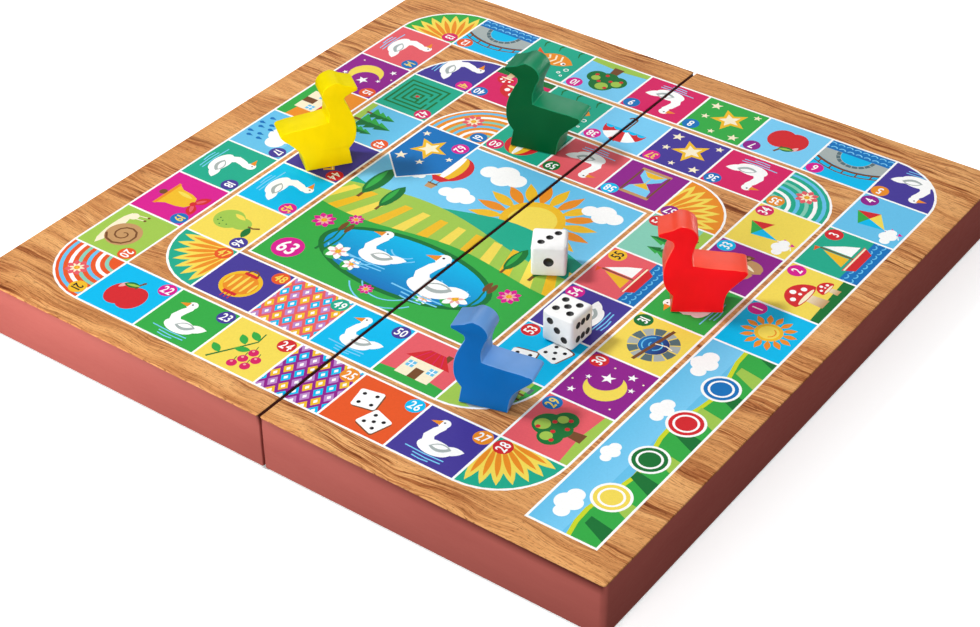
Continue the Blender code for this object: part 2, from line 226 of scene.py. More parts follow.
class Sheet:
    """Flat shapes in painter's order, in track units, later cut into one inlaid face."""

    def __init__(self):
        self.shapes = []
        self.digits = digit_outlines()

    def add(self, outline, colour, clip=None, holes=()):
        """Adds a shape that shows inside the shape clip and outside the shapes holes, and says its number."""
        area = sum((a.conjugate() * b).imag for a, b in zip(outline, outline[1:] + outline[:1]))
        self.shapes.append((outline if area > 0 else outline[::-1], colour, clip, set(holes)))
        return len(self.shapes) - 1

    def shows(self, shape, covering):
        _, colour, clip, holes = self.shapes[shape]
        return colour and clip in (None, *covering) and holes.isdisjoint(covering)

    def top_shape(self, covering):
        """The uppermost shape that shows where all of these shapes cover each other."""
        return max(shape for shape in covering if self.shows(shape, covering))


def flat(name):
    return lambda point: INK[name]


def graded(low, high, start, end):
    """Ink that changes evenly from one colour to another between two points."""
    run = end - start

    def colour(point):
        share = ((point - start) * run.conjugate()).real / abs(run) ** 2
        share = min(max(share, 0.0), 1.0)
        return tuple(a + (b - a) * share for a, b in zip(INK[low], INK[high]))

    return colour


def polar(x, y, radius, degrees):
    """The point at that distance and in that direction from (x, y)."""
    angle = math.radians(degrees)
    return x + radius * math.cos(angle), y + radius * math.sin(angle)


def arc_points(x, y, radius, start, end, steps=None):
    steps = steps or max(4, int(abs(end - start) / 10))
    return [polar(x, y, radius, start + (end - start) * i / steps) for i in range(steps + 1)]


class Pen:
    """Draws in a place's own reading frame, where (0, 0) is its middle and y points up as it is read."""

    def __init__(self, sheet, origin, unit, clip):
        self.sheet = sheet
        self.origin = origin
        self.unit = unit
        self.clip = clip

    def at(self, x, y, turn=0, size=1):
        unit = self.unit * cmath.rect(size, math.radians(turn))
        return Pen(self.sheet, self.place(x, y), unit, self.clip)

    def place(self, x, y):
        return self.origin + self.unit * complex(x, y)

    def poly(self, points, fill, holes=()):
        """A shape in one ink, in two inks that blend from bottom to top, or in none if it only cuts."""
        outline = [self.place(x, y) for x, y in points]
        colour = flat(fill) if fill else None
        if isinstance(fill, tuple):
            heights = [y for x, y in points]
            colour = graded(*fill, self.place(0, min(heights)), self.place(0, max(heights)))
        return self.sheet.add(outline, colour, self.clip, holes)

    def rect(self, x0, y0, x1, y1, fill):
        self.poly([(x0, y0), (x1, y0), (x1, y1), (x0, y1)], fill)

    def mirrored(self, half, fill):
        """A shape from the right half of its outline."""
        self.poly(half + [(-x, y) for x, y in half[::-1]], fill)

    def ground(self, fill, left, right, *tops):
        """Land or water over the foot of a cell, as high as given at its left, at its right and between."""
        e = PAST_EDGE
        self.poly([(-e, -e), (e, -e), (e, right), *tops, (-e, left)], fill)

    def disc(self, x, y, radius, fill, squash=1, holes=()):
        steps = max(12, min(44, int(14 + 60 * radius)))
        rim = [polar(0, 0, radius, 360 * i / steps) for i in range(steps)]
        return self.poly([(x + a, y + b * squash) for a, b in rim], fill, holes)

    def discs(self, rounds, fill):
        for x, y, radius in rounds:
            self.disc(x, y, radius, fill)

    def dots(self, places, radius, fill):
        for x, y in places:
            self.disc(x, y, radius, fill)

    def slice(self, x, y, radius, start, end, fill):
        """A pie slice from one angle to another, in degrees."""
        return self.poly([(x, y)] + arc_points(x, y, radius, start, end), fill)

    def band(self, x, y, radius, width, start, end, fill):
        """A stretch of a ring."""
        outer = arc_points(x, y, radius + width / 2, start, end)
        inner = arc_points(x, y, radius - width / 2, end, start)
        self.poly(outer + inner, fill)

    def ring(self, x, y, radius, width, fill):
        hole = self.disc(x, y, radius - width / 2, None)
        self.disc(x, y, radius + width / 2, fill, holes=[hole])

    def petal(self, x, y, length, width, turn, fill, point=0.8):
        """A leaf or petal that grows from (x, y) in the direction of turn, in degrees."""
        shares = [i / PETAL_STEPS for i in range(1, PETAL_STEPS)]
        side = [(length * s, width / 2 * math.sin(math.pi * s) ** point) for s in shares]
        outline = [(0, 0)] + side + [(length, 0)] + [(a, -b) for a, b in side[::-1]]
        self.at(x, y, turn).poly(outline, fill)

    def bar(self, x0, y0, x1, y1, width, fill):
        self.stroke([(x0, y0), (x1, y1)], width, fill)

    def stroke(self, points, width, fill, end=None):
        """A line along points, which may end at another width."""
        end = width if end is None else end
        left, right = [], []
        last = len(points) - 1
        for i, (x, y) in enumerate(points):
            x0, y0 = points[max(i - 1, 0)]
            x1, y1 = points[min(i + 1, last)]
            half = (width + (end - width) * i / last) / 2 / math.hypot(x1 - x0, y1 - y0)
            left.append((x - (y1 - y0) * half, y + (x1 - x0) * half))
            right.append((x + (y1 - y0) * half, y - (x1 - x0) * half))
        self.poly(left + right[::-1], fill)

    def stars(self, spots, inner, fill, turn=90):
        """Five-pointed stars as x, y and radius; inner is the share of the radius that the notches leave."""
        for x, y, radius in spots:
            self.poly([polar(x, y, radius * (inner if i % 2 else 1), turn + 36 * i) for i in range(10)], fill)


def scatter(pen, motif, spots, *inks):
    """Draws a motif at several places, each with its own size."""
    for x, y, size in spots:
        motif(pen.at(x, y, size=size), *inks)


# Motifs of the cells, all drawn within about 0.42 of the middle


def goose(pen):
    """A swimming goose, seen from its left, with ripples under it."""
    pen.petal(0.05, -0.16, 0.33, 0.16, 24, "white")
    pen.disc(0, -0.15, 0.235, "white", squash=0.56)
    neck = [(-0.12, -0.12), (-0.19, 0), (-0.165, 0.12), (-0.13, 0.2), (-0.14, 0.27)]
    pen.stroke(neck, 0.16, "white", end=0.085)
    pen.disc(-0.155, 0.265, 0.078, "white")
    pen.poly([(-0.2, 0.31), (-0.335, 0.235), (-0.2, 0.215)], "orange")
    pen.disc(-0.165, 0.282, 0.014, "black")
    pen.petal(-0.08, -0.15, 0.29, 0.15, 14, "stone")
    pen.petal(-0.05, -0.13, 0.21, 0.08, 16, "white")
    for x, y, half in [(-0.04, -0.3, 0.28), (0.03, -0.355, 0.2), (-0.03, -0.405, 0.12)]:
        pen.stroke([(x - half, y + 0.012), (x, y), (x + half, y + 0.012)], 0.018, "pale")


def sun(pen):
    for i in range(14):
        pen.at(0, -0.04, turn=i * 360 / 14).petal(0.17, 0, 0.2, 0.085, 0, "orange", point=1.2)
    pen.disc(0, -0.04, 0.185, "gold")
    pen.disc(0, -0.04, 0.135, "yellow")
    pen.band(0, -0.04, 0.09, 0.018, 200, 340, "orange")


def mushroom(pen):
    pen.ground("leaf", -0.34, -0.28)
    for x, y, size in [(-0.08, -0.04, 1), (0.23, -0.2, 0.55)]:
        one = pen.at(x, y, size=size)
        one.mirrored([(0.1, -0.3), (0.07, 0.03)], ("tan", "cream"))
        one.slice(0, 0, 0.27, 0, 180, "red")
        one.disc(0, 0, 0.27, "red", squash=0.22)
        one.disc(0, -0.015, 0.2, "cream", squash=0.16)
        one.discs([(-0.14, 0.1, 0.04), (0, 0.18, 0.045), (0.13, 0.09, 0.042), (0.01, 0.08, 0.026)], "white")


def waves(pen, low, crest):
    pen.ground("blue", low, low)
    for row in range(2):
        for i in range(-4, 5):
            pen.band(0.13 * i + 0.065 * row, low - 0.03 - 0.1 * row, 0.05, 0.02, 200, 340, crest)


def boat(pen):
    waves(pen, -0.2, "sky")
    pen.bar(0, -0.15, 0, 0.34, 0.026, "brown")
    pen.poly([(0.03, 0.32), (0.03, -0.1), (0.29, -0.1), (0.2, 0.08)], "white")
    pen.poly([(-0.03, 0.28), (-0.03, -0.1), (-0.25, -0.1)], "gold")
    pen.poly([(-0.31, -0.14), (0.33, -0.14), (0.22, -0.3), (-0.22, -0.3)], "red")
    pen.bar(-0.29, -0.165, 0.31, -0.165, 0.026, "cream")
    pen.poly([(0, 0.34), (0, 0.42), (-0.11, 0.38)], "flame")


def kite(pen):
    flying = pen.at(-0.06, 0.08, turn=-24)
    corners = [(0, 0.3), (0.2, 0.05), (0, -0.27), (-0.2, 0.05)]
    for i, ink in enumerate(("red", "yellow", "cyan", "green")):
        flying.poly([(0, 0.05), corners[i], corners[(i + 1) % 4]], ink)
    tail = [(0, -0.27), (0.05, -0.33), (-0.01, -0.4), (0.06, -0.47), (0.01, -0.55)]
    flying.stroke(tail, 0.018, "white", end=0.014)
    for x, y in tail[1:4]:
        for side in (0.06, -0.06):
            flying.poly([(x, y), (x + side, y + 0.04), (x + side, y - 0.04)], "magenta")
    cloud(pen.at(-0.28, -0.28, size=0.7))


def bridge(pen):
    waves(pen, -0.24, "pale")
    arch = pen.slice(0, -0.24, 0.23, 0, 180, None)
    deck = [(x / 10, 0.12 - 0.55 * (x / 10) ** 2) for x in range(-5, 6)]
    pen.poly([(-0.5, -0.24), (0.5, -0.24)] + deck[::-1], "stone", holes=[arch])
    for angle in range(10, 180, 20):
        pen.band(0, -0.24, 0.265, 0.055, angle - 8.5, angle + 8.5, "slate")
    pen.stroke([(x, y + 0.03) for x, y in deck], 0.045, "brown")
    for x, y in deck[1::2]:
        pen.bar(x, y + 0.03, x, y + 0.13, 0.024, "brown")
    pen.stroke([(x, y + 0.13) for x, y in deck], 0.022, "brown")


def apple(pen):
    for x in (-0.1, 0.1):
        pen.disc(x, -0.07, 0.2, "red", squash=1.18)
    pen.petal(-0.22, 0.02, 0.16, 0.07, 70, "blush")
    pen.stroke([(0, 0.1), (0, 0.2), (0.04, 0.28)], 0.03, "brown", end=0.04)
    pen.petal(0.02, 0.18, 0.23, 0.12, 196, "leaf")
    pen.petal(0.02, 0.18, 0.2, 0.05, 196, "lime")


def tree(pen):
    pen.ground("lime", -0.36, -0.36, (0, -0.3))
    pen.mirrored([(0.085, -0.36), (0.05, -0.05)], "brown")
    pen.discs([(-0.17, 0, 0.16), (0.17, 0, 0.16), (0, 0.14, 0.2), (0, -0.02, 0.17)], "leaf")
    pen.discs([(-0.19, 0.04, 0.08), (-0.03, 0.2, 0.1), (0.17, 0.04, 0.07)], "lime")
    fruit = [(-0.22, -0.05), (-0.08, 0.02), (0.08, 0.1), (0.2, -0.05), (0.05, -0.1), (-0.1, 0.22)]
    pen.dots(fruit, 0.032, "red")


def moon(pen):
    bite = pen.disc(0.09, 0.06, 0.22, None)
    pen.disc(-0.04, -0.02, 0.27, "yellow", holes=[bite])
    small = [(0.12, 0.04, 0.1), (0.3, -0.2, 0.07), (-0.3, 0.3, 0.06), (0.08, -0.32, 0.05)]
    pen.stars(small + [(0.02, 0.26, 0.045)], 0.42, "white")
    pen.dots([(-0.36, -0.3), (0.34, 0.08), (-0.12, 0.4), (0.26, -0.38)], 0.014, "cream")


def fish(pen):
    pen.poly([(0.12, -0.05), (0.36, 0.13), (0.3, -0.05), (0.36, -0.23)], "flame")
    pen.petal(-0.08, 0.05, 0.25, 0.14, 48, "flame")
    pen.petal(-0.36, -0.05, 0.6, 0.34, 0, "orange")
    for x, half in [(-0.1, 0.14), (0, 0.125), (0.1, 0.09)]:
        pen.stroke([(x, half - 0.06), (x - 0.05, -0.05), (x, -half - 0.04)], 0.03, "cream")
    pen.disc(-0.22, 0, 0.04, "white")
    pen.disc(-0.23, 0, 0.02, "black")
    for x, y, radius in [(-0.36, 0.12, 0.035), (-0.3, 0.24, 0.025), (-0.38, 0.3, 0.018)]:
        pen.ring(x, y, radius, 0.014, "white")
    for x in (-0.3, 0.05, 0.32):
        pen.stroke([(x, -0.48), (x + 0.03, -0.38), (x - 0.01, -0.28)], 0.045, "leaf", end=0.012)


def blossom(pen, outer, inner, petals=8):
    flower = pen.at(0, -0.02)
    for i in range(petals):
        flower.petal(0, 0, 0.4, 0.22, 360 * i / petals, outer, point=0.65)
    for i in range(petals):
        flower.petal(0, 0, 0.26, 0.09, 360 * (i + 0.5) / petals, inner)
    flower.disc(0, 0, 0.1, "gold")
    flower.dots([polar(0, 0, 0.06, 45 * i) for i in range(8)], 0.015, "flame")


def stars(pen):
    pen.stars([(-0.06, -0.06, 0.29)], 0.45, "gold")
    pen.stars([(-0.06, -0.06, 0.17)], 0.45, "cream")
    small = [(0.3, -0.3, 0.1), (-0.33, 0.32, 0.09), (0.3, 0.03, 0.07), (-0.36, -0.34, 0.07)]
    pen.stars(small + [(0.02, 0.34, 0.06)], 0.42, "cream", turn=70)


def house(pen):
    pen.ground("green", -0.32, -0.3, (0.1, -0.24))
    pen.rect(0.13, 0.08, 0.21, 0.3, "brown")
    pen.rect(-0.25, -0.32, 0.25, 0.06, "cream")
    pen.mirrored([(0.33, 0.03), (0.12, 0.26)], "red")
    for x in (-0.2, -0.07, 0.07, 0.2):
        pen.bar(x, 0.03, x * 0.45, 0.26, 0.012, "crimson")
    pen.rect(-0.06, -0.32, 0.07, -0.12, "brown")
    for x in (-0.16, 0.16):
        pen.rect(x - 0.055, -0.15, x + 0.055, -0.03, "sky")
        pen.bar(x, -0.15, x, -0.03, 0.014, "white")
        pen.bar(x - 0.055, -0.09, x + 0.055, -0.09, 0.014, "white")


def cloud(pen, fill="white"):
    pen.discs([(-0.16, 0, 0.1), (0, 0.05, 0.14), (0.15, 0.01, 0.11), (0.02, -0.04, 0.12)], fill)


def rain(pen):
    cloud(pen.at(-0.05, 0.14, size=1.5), "pale")
    cloud(pen.at(-0.04, 0.1, size=1.35))
    for i, x in enumerate((-0.3, -0.17, -0.04, 0.09, 0.22)):
        for y in (-0.16, -0.34):
            drop = pen.at(x + 0.03 * (i % 2), y - 0.06 * (i % 2))
            drop.disc(0, 0, 0.032, "blue")
            drop.poly([(-0.028, 0.014), (0.028, 0.014), (0, 0.085)], "blue")


def bell(pen):
    pen.disc(0, -0.3, 0.06, "brown")
    pen.mirrored([(0.05, 0.24), (0.13, 0.2), (0.17, 0.08), (0.19, -0.1), (0.28, -0.25)], "gold")
    pen.mirrored([(0.28, -0.25), (0.27, -0.2)], "orange")
    pen.petal(-0.12, -0.14, 0.3, 0.07, 84, "yellow")
    for turn in (150, 30):
        pen.petal(0, 0.25, 0.27, 0.15, turn, "red")
        pen.petal(0, 0.25, 0.2, 0.06, turn, "coral")
    pen.disc(0, 0.25, 0.05, "red")


def snail(pen):
    pen.petal(-0.38, -0.27, 0.8, 0.16, 4, "cream", point=0.5)
    pen.disc(0.06, -0.02, 0.26, "tan")
    turns = [polar(0.06, -0.02, 0.245 - 0.0115 * i, math.degrees(0.6 * i - 1.2)) for i in range(20)]
    pen.stroke(turns, 0.035, "brown", end=0.02)
    pen.disc(-0.33, -0.2, 0.075, "cream")
    for x in (-0.38, -0.3):
        pen.bar(x, -0.15, x - 0.03, 0, 0.016, "cream")
        pen.disc(x - 0.03, 0, 0.022, "brown")


def fan(pen):
    """Leaves spread from the inner corner of a quarter round cell."""
    for start, length, width, ink in [(0.12, 0.74, 0.17, "yellow"), (0.2, 0.52, 0.075, "orange")]:
        for i in range(7):
            leaf = pen.at(INNER_CORNER, INNER_CORNER, turn=180 + 90 * (i + 0.5) / 7)
            leaf.petal(start, 0, length, width, 0, ink)


def berries(pen):
    pen.stroke([(-0.34, -0.4), (-0.15, -0.1), (0.02, 0.18), (0, 0.36)], 0.03, "leaf", end=0.02)
    for x, y, turn in [(-0.25, -0.25, 150), (-0.15, -0.08, 20), (-0.08, 0.05, 140), (0.02, 0.2, 150)]:
        pen.petal(x, y, 0.22, 0.11, turn, "green")
    for x, y in [(0.12, -0.02), (0.24, -0.12), (0.08, -0.18), (0.2, -0.28), (0.02, -0.32)]:
        pen.bar(x - 0.03, y + 0.13, x, y, 0.012, "leaf")
        pen.disc(x, y, 0.07, "crimson")
        pen.disc(x - 0.022, y + 0.024, 0.018, "blush")


def diamonds(pen):
    inks = ("lilac", "gold", "cyan")
    for i in range(-3, 4):
        for j in range(-3, 4):
            x, y = 0.17 * i + 0.085 * (j % 2), 0.15 * j
            for across, up, ink in [(0.07, 0.1, inks[(i + 2 * j) % 3]), (0.028, 0.042, "white")]:
                pen.poly([(x - across, y), (x, y - up), (x + across, y), (x, y + up)], ink)


def dice(pen):
    for x, y, turn, value in [(-0.18, 0.1, 12, 4), (0.14, -0.19, -18, 5)]:
        one = pen.at(x, y, turn=turn)
        face = []
        for k, (side, up) in enumerate([(1, 1), (-1, 1), (-1, -1), (1, -1)]):
            face += arc_points(0.1287 * side, 0.1287 * up, 0.0363, 90 * k, 90 * k + 90)
        one.poly([(a + 0.02, b - 0.02) for a, b in face], "brown")
        one.poly(face, "white")
        one.dots([(0.085 * a, 0.085 * b) for a, b in PIPS[value]], 0.027, "black")


def ripples(pen):
    """Rings that spread from the inner corner of a quarter round cell."""
    for i in range(6):
        ink = ("mint", "white", "sky")[i % 3]
        pen.band(INNER_CORNER, INNER_CORNER, 0.24 + 0.12 * i, 0.055, 175, 275, ink)
    blossom(pen.at(0.02, 0.02, size=0.42), "coral", "cream")


def well(pen):
    for i in range(12):
        pen.band(0, -0.05, 0.27, 0.13, 30 * i + 2, 30 * i + 28, "stone" if i % 2 else "slate")
    pen.disc(0, -0.05, 0.2, ("navy", "blue"))
    for radius, start in [(0.15, 20), (0.11, 200), (0.06, 60)]:
        pen.band(0, -0.05, radius, 0.018, start, start + 130, "sky")
    pen.bar(-0.38, 0.02, 0.38, -0.12, 0.05, "brown")
    pen.stroke([(0.03, -0.05), (0.06, -0.2), (0.03, -0.3)], 0.02, "cream")


def acorn(pen):
    for x, y, turn in [(-0.14, -0.02, 20), (0.17, -0.1, -25)]:
        one = pen.at(x, y, turn=turn)
        one.petal(0, 0.06, 0.36, 0.25, -90, "tan", point=0.5)
        one.petal(-0.04, 0.02, 0.24, 0.05, -90, "cream")
        one.slice(0, 0.02, 0.15, 0, 180, "brown")
        one.bar(0, 0.15, 0.02, 0.24, 0.03, "brown")
        one.dots([(-0.08, 0.07), (0, 0.07), (0.08, 0.07)], 0.024, "tan")
    pen.petal(-0.1, 0.2, 0.32, 0.17, 165, "orange")
    pen.petal(-0.1, 0.2, 0.28, 0.04, 165, "gold")


def umbrella(pen):
    pen.bar(0, -0.3, 0, 0.34, 0.025, "brown")
    pen.band(0.06, -0.3, 0.06, 0.028, 180, 360, "brown")
    for i in range(5):
        pen.slice(0, -0.02, 0.34, 180 - 36 * i, 144 - 36 * i, "white" if i % 2 else "red")
    for i in range(-2, 3):
        pen.slice(0.13 * i, -0.02, 0.067, 0, 180, "cyan")


def maze(pen):
    pen = pen.at(0, -0.04)
    for i in range(4):
        half = 0.34 - 0.09 * i
        gap = 0.07 if i % 2 else -0.07
        corners = [(-half, half), (-half, -half), (half, -half), (half, half)]
        corners = [(gap - 0.05, half)] + corners + [(gap + 0.05, half)]
        for (x0, y0), (x1, y1) in zip(corners, corners[1:]):
            dx, dy = [math.copysign(0.018, run) if run else 0 for run in (x1 - x0, y1 - y0)]
            pen.bar(x0 - dx, y0 - dy, x1 + dx, y1 + dy, 0.036, "leaf")
    pen.stars([(0, 0, 0.05)], 0.45, "red")


def pines(pen):
    pen.ground("lime", -0.36, -0.3)
    for x, y, size in [(-0.24, -0.12, 0.85), (0.22, -0.16, 0.75), (-0.01, -0.1, 1.1)]:
        one = pen.at(x, y, size=size)
        one.bar(0, -0.3, 0, -0.1, 0.05, "brown")
        for k in range(3):
            low, half = -0.2 + 0.14 * k, 0.18 - 0.04 * k
            one.poly([(-half, low), (half, low), (0, low + 0.22)], "leaf")
            one.poly([(-half, low), (-0.02, low), (0, low + 0.22)], "green")


def key(pen):
    turned = pen.at(-0.02, -0.02, turn=40)
    for turn in (90, 210, 330):
        turned.ring(*polar(-0.23, 0, 0.08, turn), 0.07, 0.045, "gold")
    turned.bar(-0.16, 0, 0.36, 0, 0.055, "gold")
    for x, height in [(0.33, 0.13), (0.24, 0.1), (0.15, 0.08)]:
        turned.bar(x, 0, x, -height, 0.045, "gold")
    turned.bar(-0.12, 0, 0.34, 0, 0.014, "cream")
    turned.disc(-0.1, 0, 0.045, "orange")


def pear(pen):
    pen.disc(0, -0.15, 0.22, "lime")
    pen.disc(0, 0.05, 0.135, "lime", squash=1.25)
    pen.petal(-0.14, -0.16, 0.22, 0.08, 78, "yellow")
    pen.stroke([(0, 0.18), (0, 0.27), (-0.05, 0.35)], 0.028, "brown", end=0.036)
    pen.petal(0, 0.22, 0.25, 0.12, 12, "leaf")
    pen.dots([(0.08, -0.2), (0.12, -0.1), (0.04, -0.27), (0.1, -0.27), (0.16, -0.19)], 0.012, "leaf")


def lantern(pen):
    pen.disc(0, -0.06, 0.29, "gold")
    pen.disc(0, -0.06, 0.24, "orange", squash=0.94)
    for i in range(-2, 3):
        pen.disc(0.1 * i, -0.06, 0.024 - 0.003 * abs(i), "yellow", squash=8.5 - 1.2 * abs(i))
    for y in (0.16, -0.28):
        pen.bar(-0.11, y, 0.11, y, 0.055, "red")
    pen.band(0, 0.18, 0.08, 0.024, 0, 180, "brown")
    for x in (-0.06, 0, 0.06):
        pen.bar(x, -0.3, x, -0.4, 0.018, "red")


def gate(pen):
    pen.ground("green", -0.34, -0.34)
    pen.band(0, -0.02, 0.31, 0.08, 0, 180, "stone")
    for x in (-0.31, 0.31):
        pen.bar(x, -0.4, x, 0, 0.08, "stone")
        pen.bar(x - 0.055, -0.38, x + 0.055, -0.38, 0.05, "slate")
    for x in (-0.2, -0.1, 0, 0.1, 0.2):
        pen.bar(x, -0.36, x, math.sqrt(0.27 ** 2 - x ** 2) - 0.02, 0.035, "brown")
    for y in (-0.26, -0.06):
        pen.bar(-0.26, y, 0.26, y, 0.035, "brown")
    pen.disc(0.05, -0.15, 0.04, "gold")


def hourglass(pen):
    for y in (0.27, -0.35):
        pen.bar(-0.24, y, 0.24, y, 0.06, "tan")
    pen.mirrored([(0.19, 0.24), (0.17, 0.1), (0.02, -0.04), (0.17, -0.18), (0.19, -0.32)], "pale")
    pen.mirrored([(0.13, 0.08), (0.015, -0.04)], "gold")
    pen.mirrored([(0.17, -0.31), (0.06, -0.2)], "gold")
    pen.bar(0, -0.04, 0, -0.2, 0.012, "gold")
    for x in (-0.22, 0.22):
        pen.bar(x, -0.34, x, 0.26, 0.03, "brown")


def balloon(pen):
    for half, ink in [(0.27, "red"), (0.16, "gold"), (0.05, "white")]:
        pen.disc(0, 0.1, half, ink, squash=0.3 / half)
    pen.mirrored([(0.16, -0.13), (0.06, -0.24)], "red")
    for x in (-0.05, 0.05):
        pen.bar(x, -0.24, x * 0.9, -0.32, 0.012, "brown")
    pen.mirrored([(0.07, -0.31), (0.055, -0.42)], "tan")
    pen.bar(-0.075, -0.315, 0.075, -0.315, 0.024, "brown")
    cloud(pen.at(-0.3, -0.26, size=0.5))


# Each place's ground ink, motif, roundel ink and, where it isn't white, digit ink, from place 1 on
CELLS = [
    ("cyan", sun, "magenta"),
    ("yellow", mushroom, "magenta"),
    ("teal", boat, "red"),
    ("sky", kite, "purple"),
    ("indigo", goose, "orange"),
    ("cyan", bridge, "magenta"),
    ("pale", apple, "purple"),
    ("green", stars, "blue"),
    ("crimson", goose, "blue"),
    ("pale", tree, "magenta"),
    ("teal", fish, "red"),
    ("cyan", bridge, "flame"),
    ("green", fan, "crimson"),
    ("coral", goose, "blue", "yellow"),
    ("purple", moon, "flame"),
    ("orange", house, "blue"),
    ("sky", rain, "indigo"),
    ("teal", goose, "indigo"),
    ("magenta", bell, "blue", "yellow"),
    ("lime", snail, "flame"),
    ("flame", ripples, "gold", "black"),
    ("cyan", apple, "magenta"),
    ("green", goose, "indigo"),
    ("yellow", berries, "red"),
    ("purple", diamonds, "orange"),
    ("flame", dice, "cyan"),
    ("indigo", goose, "orange"),
    ("teal", fan, "red"),
    ("coral", tree, "blue", "yellow"),
    ("purple", moon, "red"),
    ("yellow", well, "leaf"),
    ("green", goose, "purple"),
    ("purple", acorn, "cyan"),
    ("yellow", kite, "crimson"),
    ("teal", ripples, "orange"),
    ("crimson", goose, "blue"),
    ("indigo", stars, "magenta", "yellow"),
    ("pale", umbrella, "magenta"),
    ("teal", fish, "purple"),
    ("crimson", mushroom, "blue"),
    ("indigo", goose, "magenta", "yellow"),
    ("teal", maze, "crimson"),
    ("sky", pines, "flame"),
    ("indigo", key, "red"),
    ("cyan", goose, "magenta", "yellow"),
    ("yellow", pear, "indigo"),
    ("teal", fan, "flame", "yellow"),
    ("indigo", lantern, "flame", "yellow"),
    ("coral", diamonds, "teal"),
    ("cyan", goose, "indigo"),
    ("coral", house, "teal", "yellow"),
    ("lime", gate, "purple"),
    ("cyan", dice, "red"),
    ("indigo", goose, "magenta"),
    ("coral", boat, "gold", "black"),
    ("mint", pines, "red"),
    ("orange", fan, "purple"),
    ("purple", hourglass, "cyan"),
    ("coral", goose, "leaf"),
    ("teal", balloon, "crimson"),
    ("orange", ripples, "blue"),
    ("blue", stars, "magenta"),
]


# Numbers


def digit_outlines():
    """The digits of the built-in type, one unit high: outer outline, outlines of the holes and width."""
    found = {}
    for digit in "0123456789":
        text = bpy.data.curves.new("digit", "FONT")
        text.body = digit
        text.offset = DIGIT_WEIGHT
        text.resolution_u = DIGIT_STEPS
        holder = add_object("digit", text)
        bpy.context.view_layer.update()
        loops = sorted(boundary_loops(holder.to_mesh()), key=loop_width, reverse=True)
        holder.to_mesh_clear()
        bpy.data.objects.remove(holder)
        bpy.data.curves.remove(text)
        xs, ys = zip(*loops[0])
        left, low, height = min(xs), min(ys), max(ys) - min(ys)
        loops = [[((x - left) / height, (y - low) / height) for x, y in loop] for loop in loops]
        found[digit] = (loops[0], loops[1:], loop_width(loops[0]))
    return found


def loop_width(loop):
    xs = [x for x, y in loop]
    return max(xs) - min(xs)


def boundary_loops(mesh):
    """The closed outlines of a flat mesh as lists of (x, y)."""
    bm = bmesh.new()
    bm.from_mesh(mesh)
    bmesh.ops.remove_doubles(bm, verts=bm.verts, dist=CUT_TOLERANCE)
    ends = {}
    for edge in bm.edges:
        if len(edge.link_faces) == 1:
            loop = edge.link_loops[0]
            ends[loop.vert] = loop.link_loop_next.vert
    loops = []
    while ends:
        loop, vert = [], next(iter(ends))
        while vert in ends:
            loop.append((vert.co.x, vert.co.y))
            vert = ends.pop(vert)
        loops.append(loop)
    bm.free()
    return loops


def digit_points(loop, x):
    """A digit's outline, moved along its line of writing."""
    return [((x + a) * DIGIT_STRETCH, b - 0.5) for a, b in loop]


def roundel(pen, value, ground, digits="white"):
    """A number on a disc, both centred on the pen's middle."""
    pen.disc(0, 0, ROUNDEL_RADIUS, ground)
    pen = pen.at(0, 0, size=DIGIT_HEIGHT)
    outlines = [pen.sheet.digits[digit] for digit in str(value)]
    x = -(sum(width for _, _, width in outlines) + DIGIT_GAP * (len(outlines) - 1)) / 2
    for outer, holes, width in outlines:
        cuts = [pen.poly(digit_points(hole, x), None) for hole in holes]
        pen.poly(digit_points(outer, x), digits, holes=cuts)
        x += width + DIGIT_GAP


# Track


def on_side(turns, points):
    """Points of the front side, taken that many quarter turns round the track."""
    middle = complex(TRACK_CELLS / 2, TRACK_CELLS / 2)
    return [middle + 1j ** turns * (complex(x, y) - middle) for x, y in points]


def box_points(x0, y0, x1, y1, grow):
    return [(x0 - grow, y0 - grow), (x1 + grow, y0 - grow), (x1 + grow, y1 + grow), (x0 - grow, y1 + grow)]


def quarter_points(x, y, grow):
    """A quarter round that fills the corner after a run: its inner corner is at (x, y)."""
    reach = CELL_DEPTH + grow
    slant = math.degrees(math.asin(grow / reach))
    return [(x - grow, y + grow)] + arc_points(x, y, reach, -90 - slant, slant)


def cell(sheet, turns, reading, shape, centre, ink):
    """Lays a white bed and a ground on a side, and gives a pen that writes as on the reading side."""
    sheet.add(on_side(turns, shape(LINE / 2)), flat("white"))
    ground = sheet.add(on_side(turns, shape(-LINE / 2)), flat(ink))
    return Pen(sheet, on_side(turns, [centre])[0], 1j ** reading, ground)


def numbered_cell(sheet, value, turns, reading, shape, centre, mark):
    """A place of the track with its motif, and its number in a roundel at mark."""
    ground, motif, *roundel_inks = CELLS[value - 1]
    pen = cell(sheet, turns, reading, shape, centre, ground)
    motif(pen)
    x, y = mark
    if value == BACKWARD_CORNER:
        pen, x = pen.at(0, 0, turn=-90), x - BACKWARD_INSET
    roundel(pen.at(x, y), value, *roundel_inks)


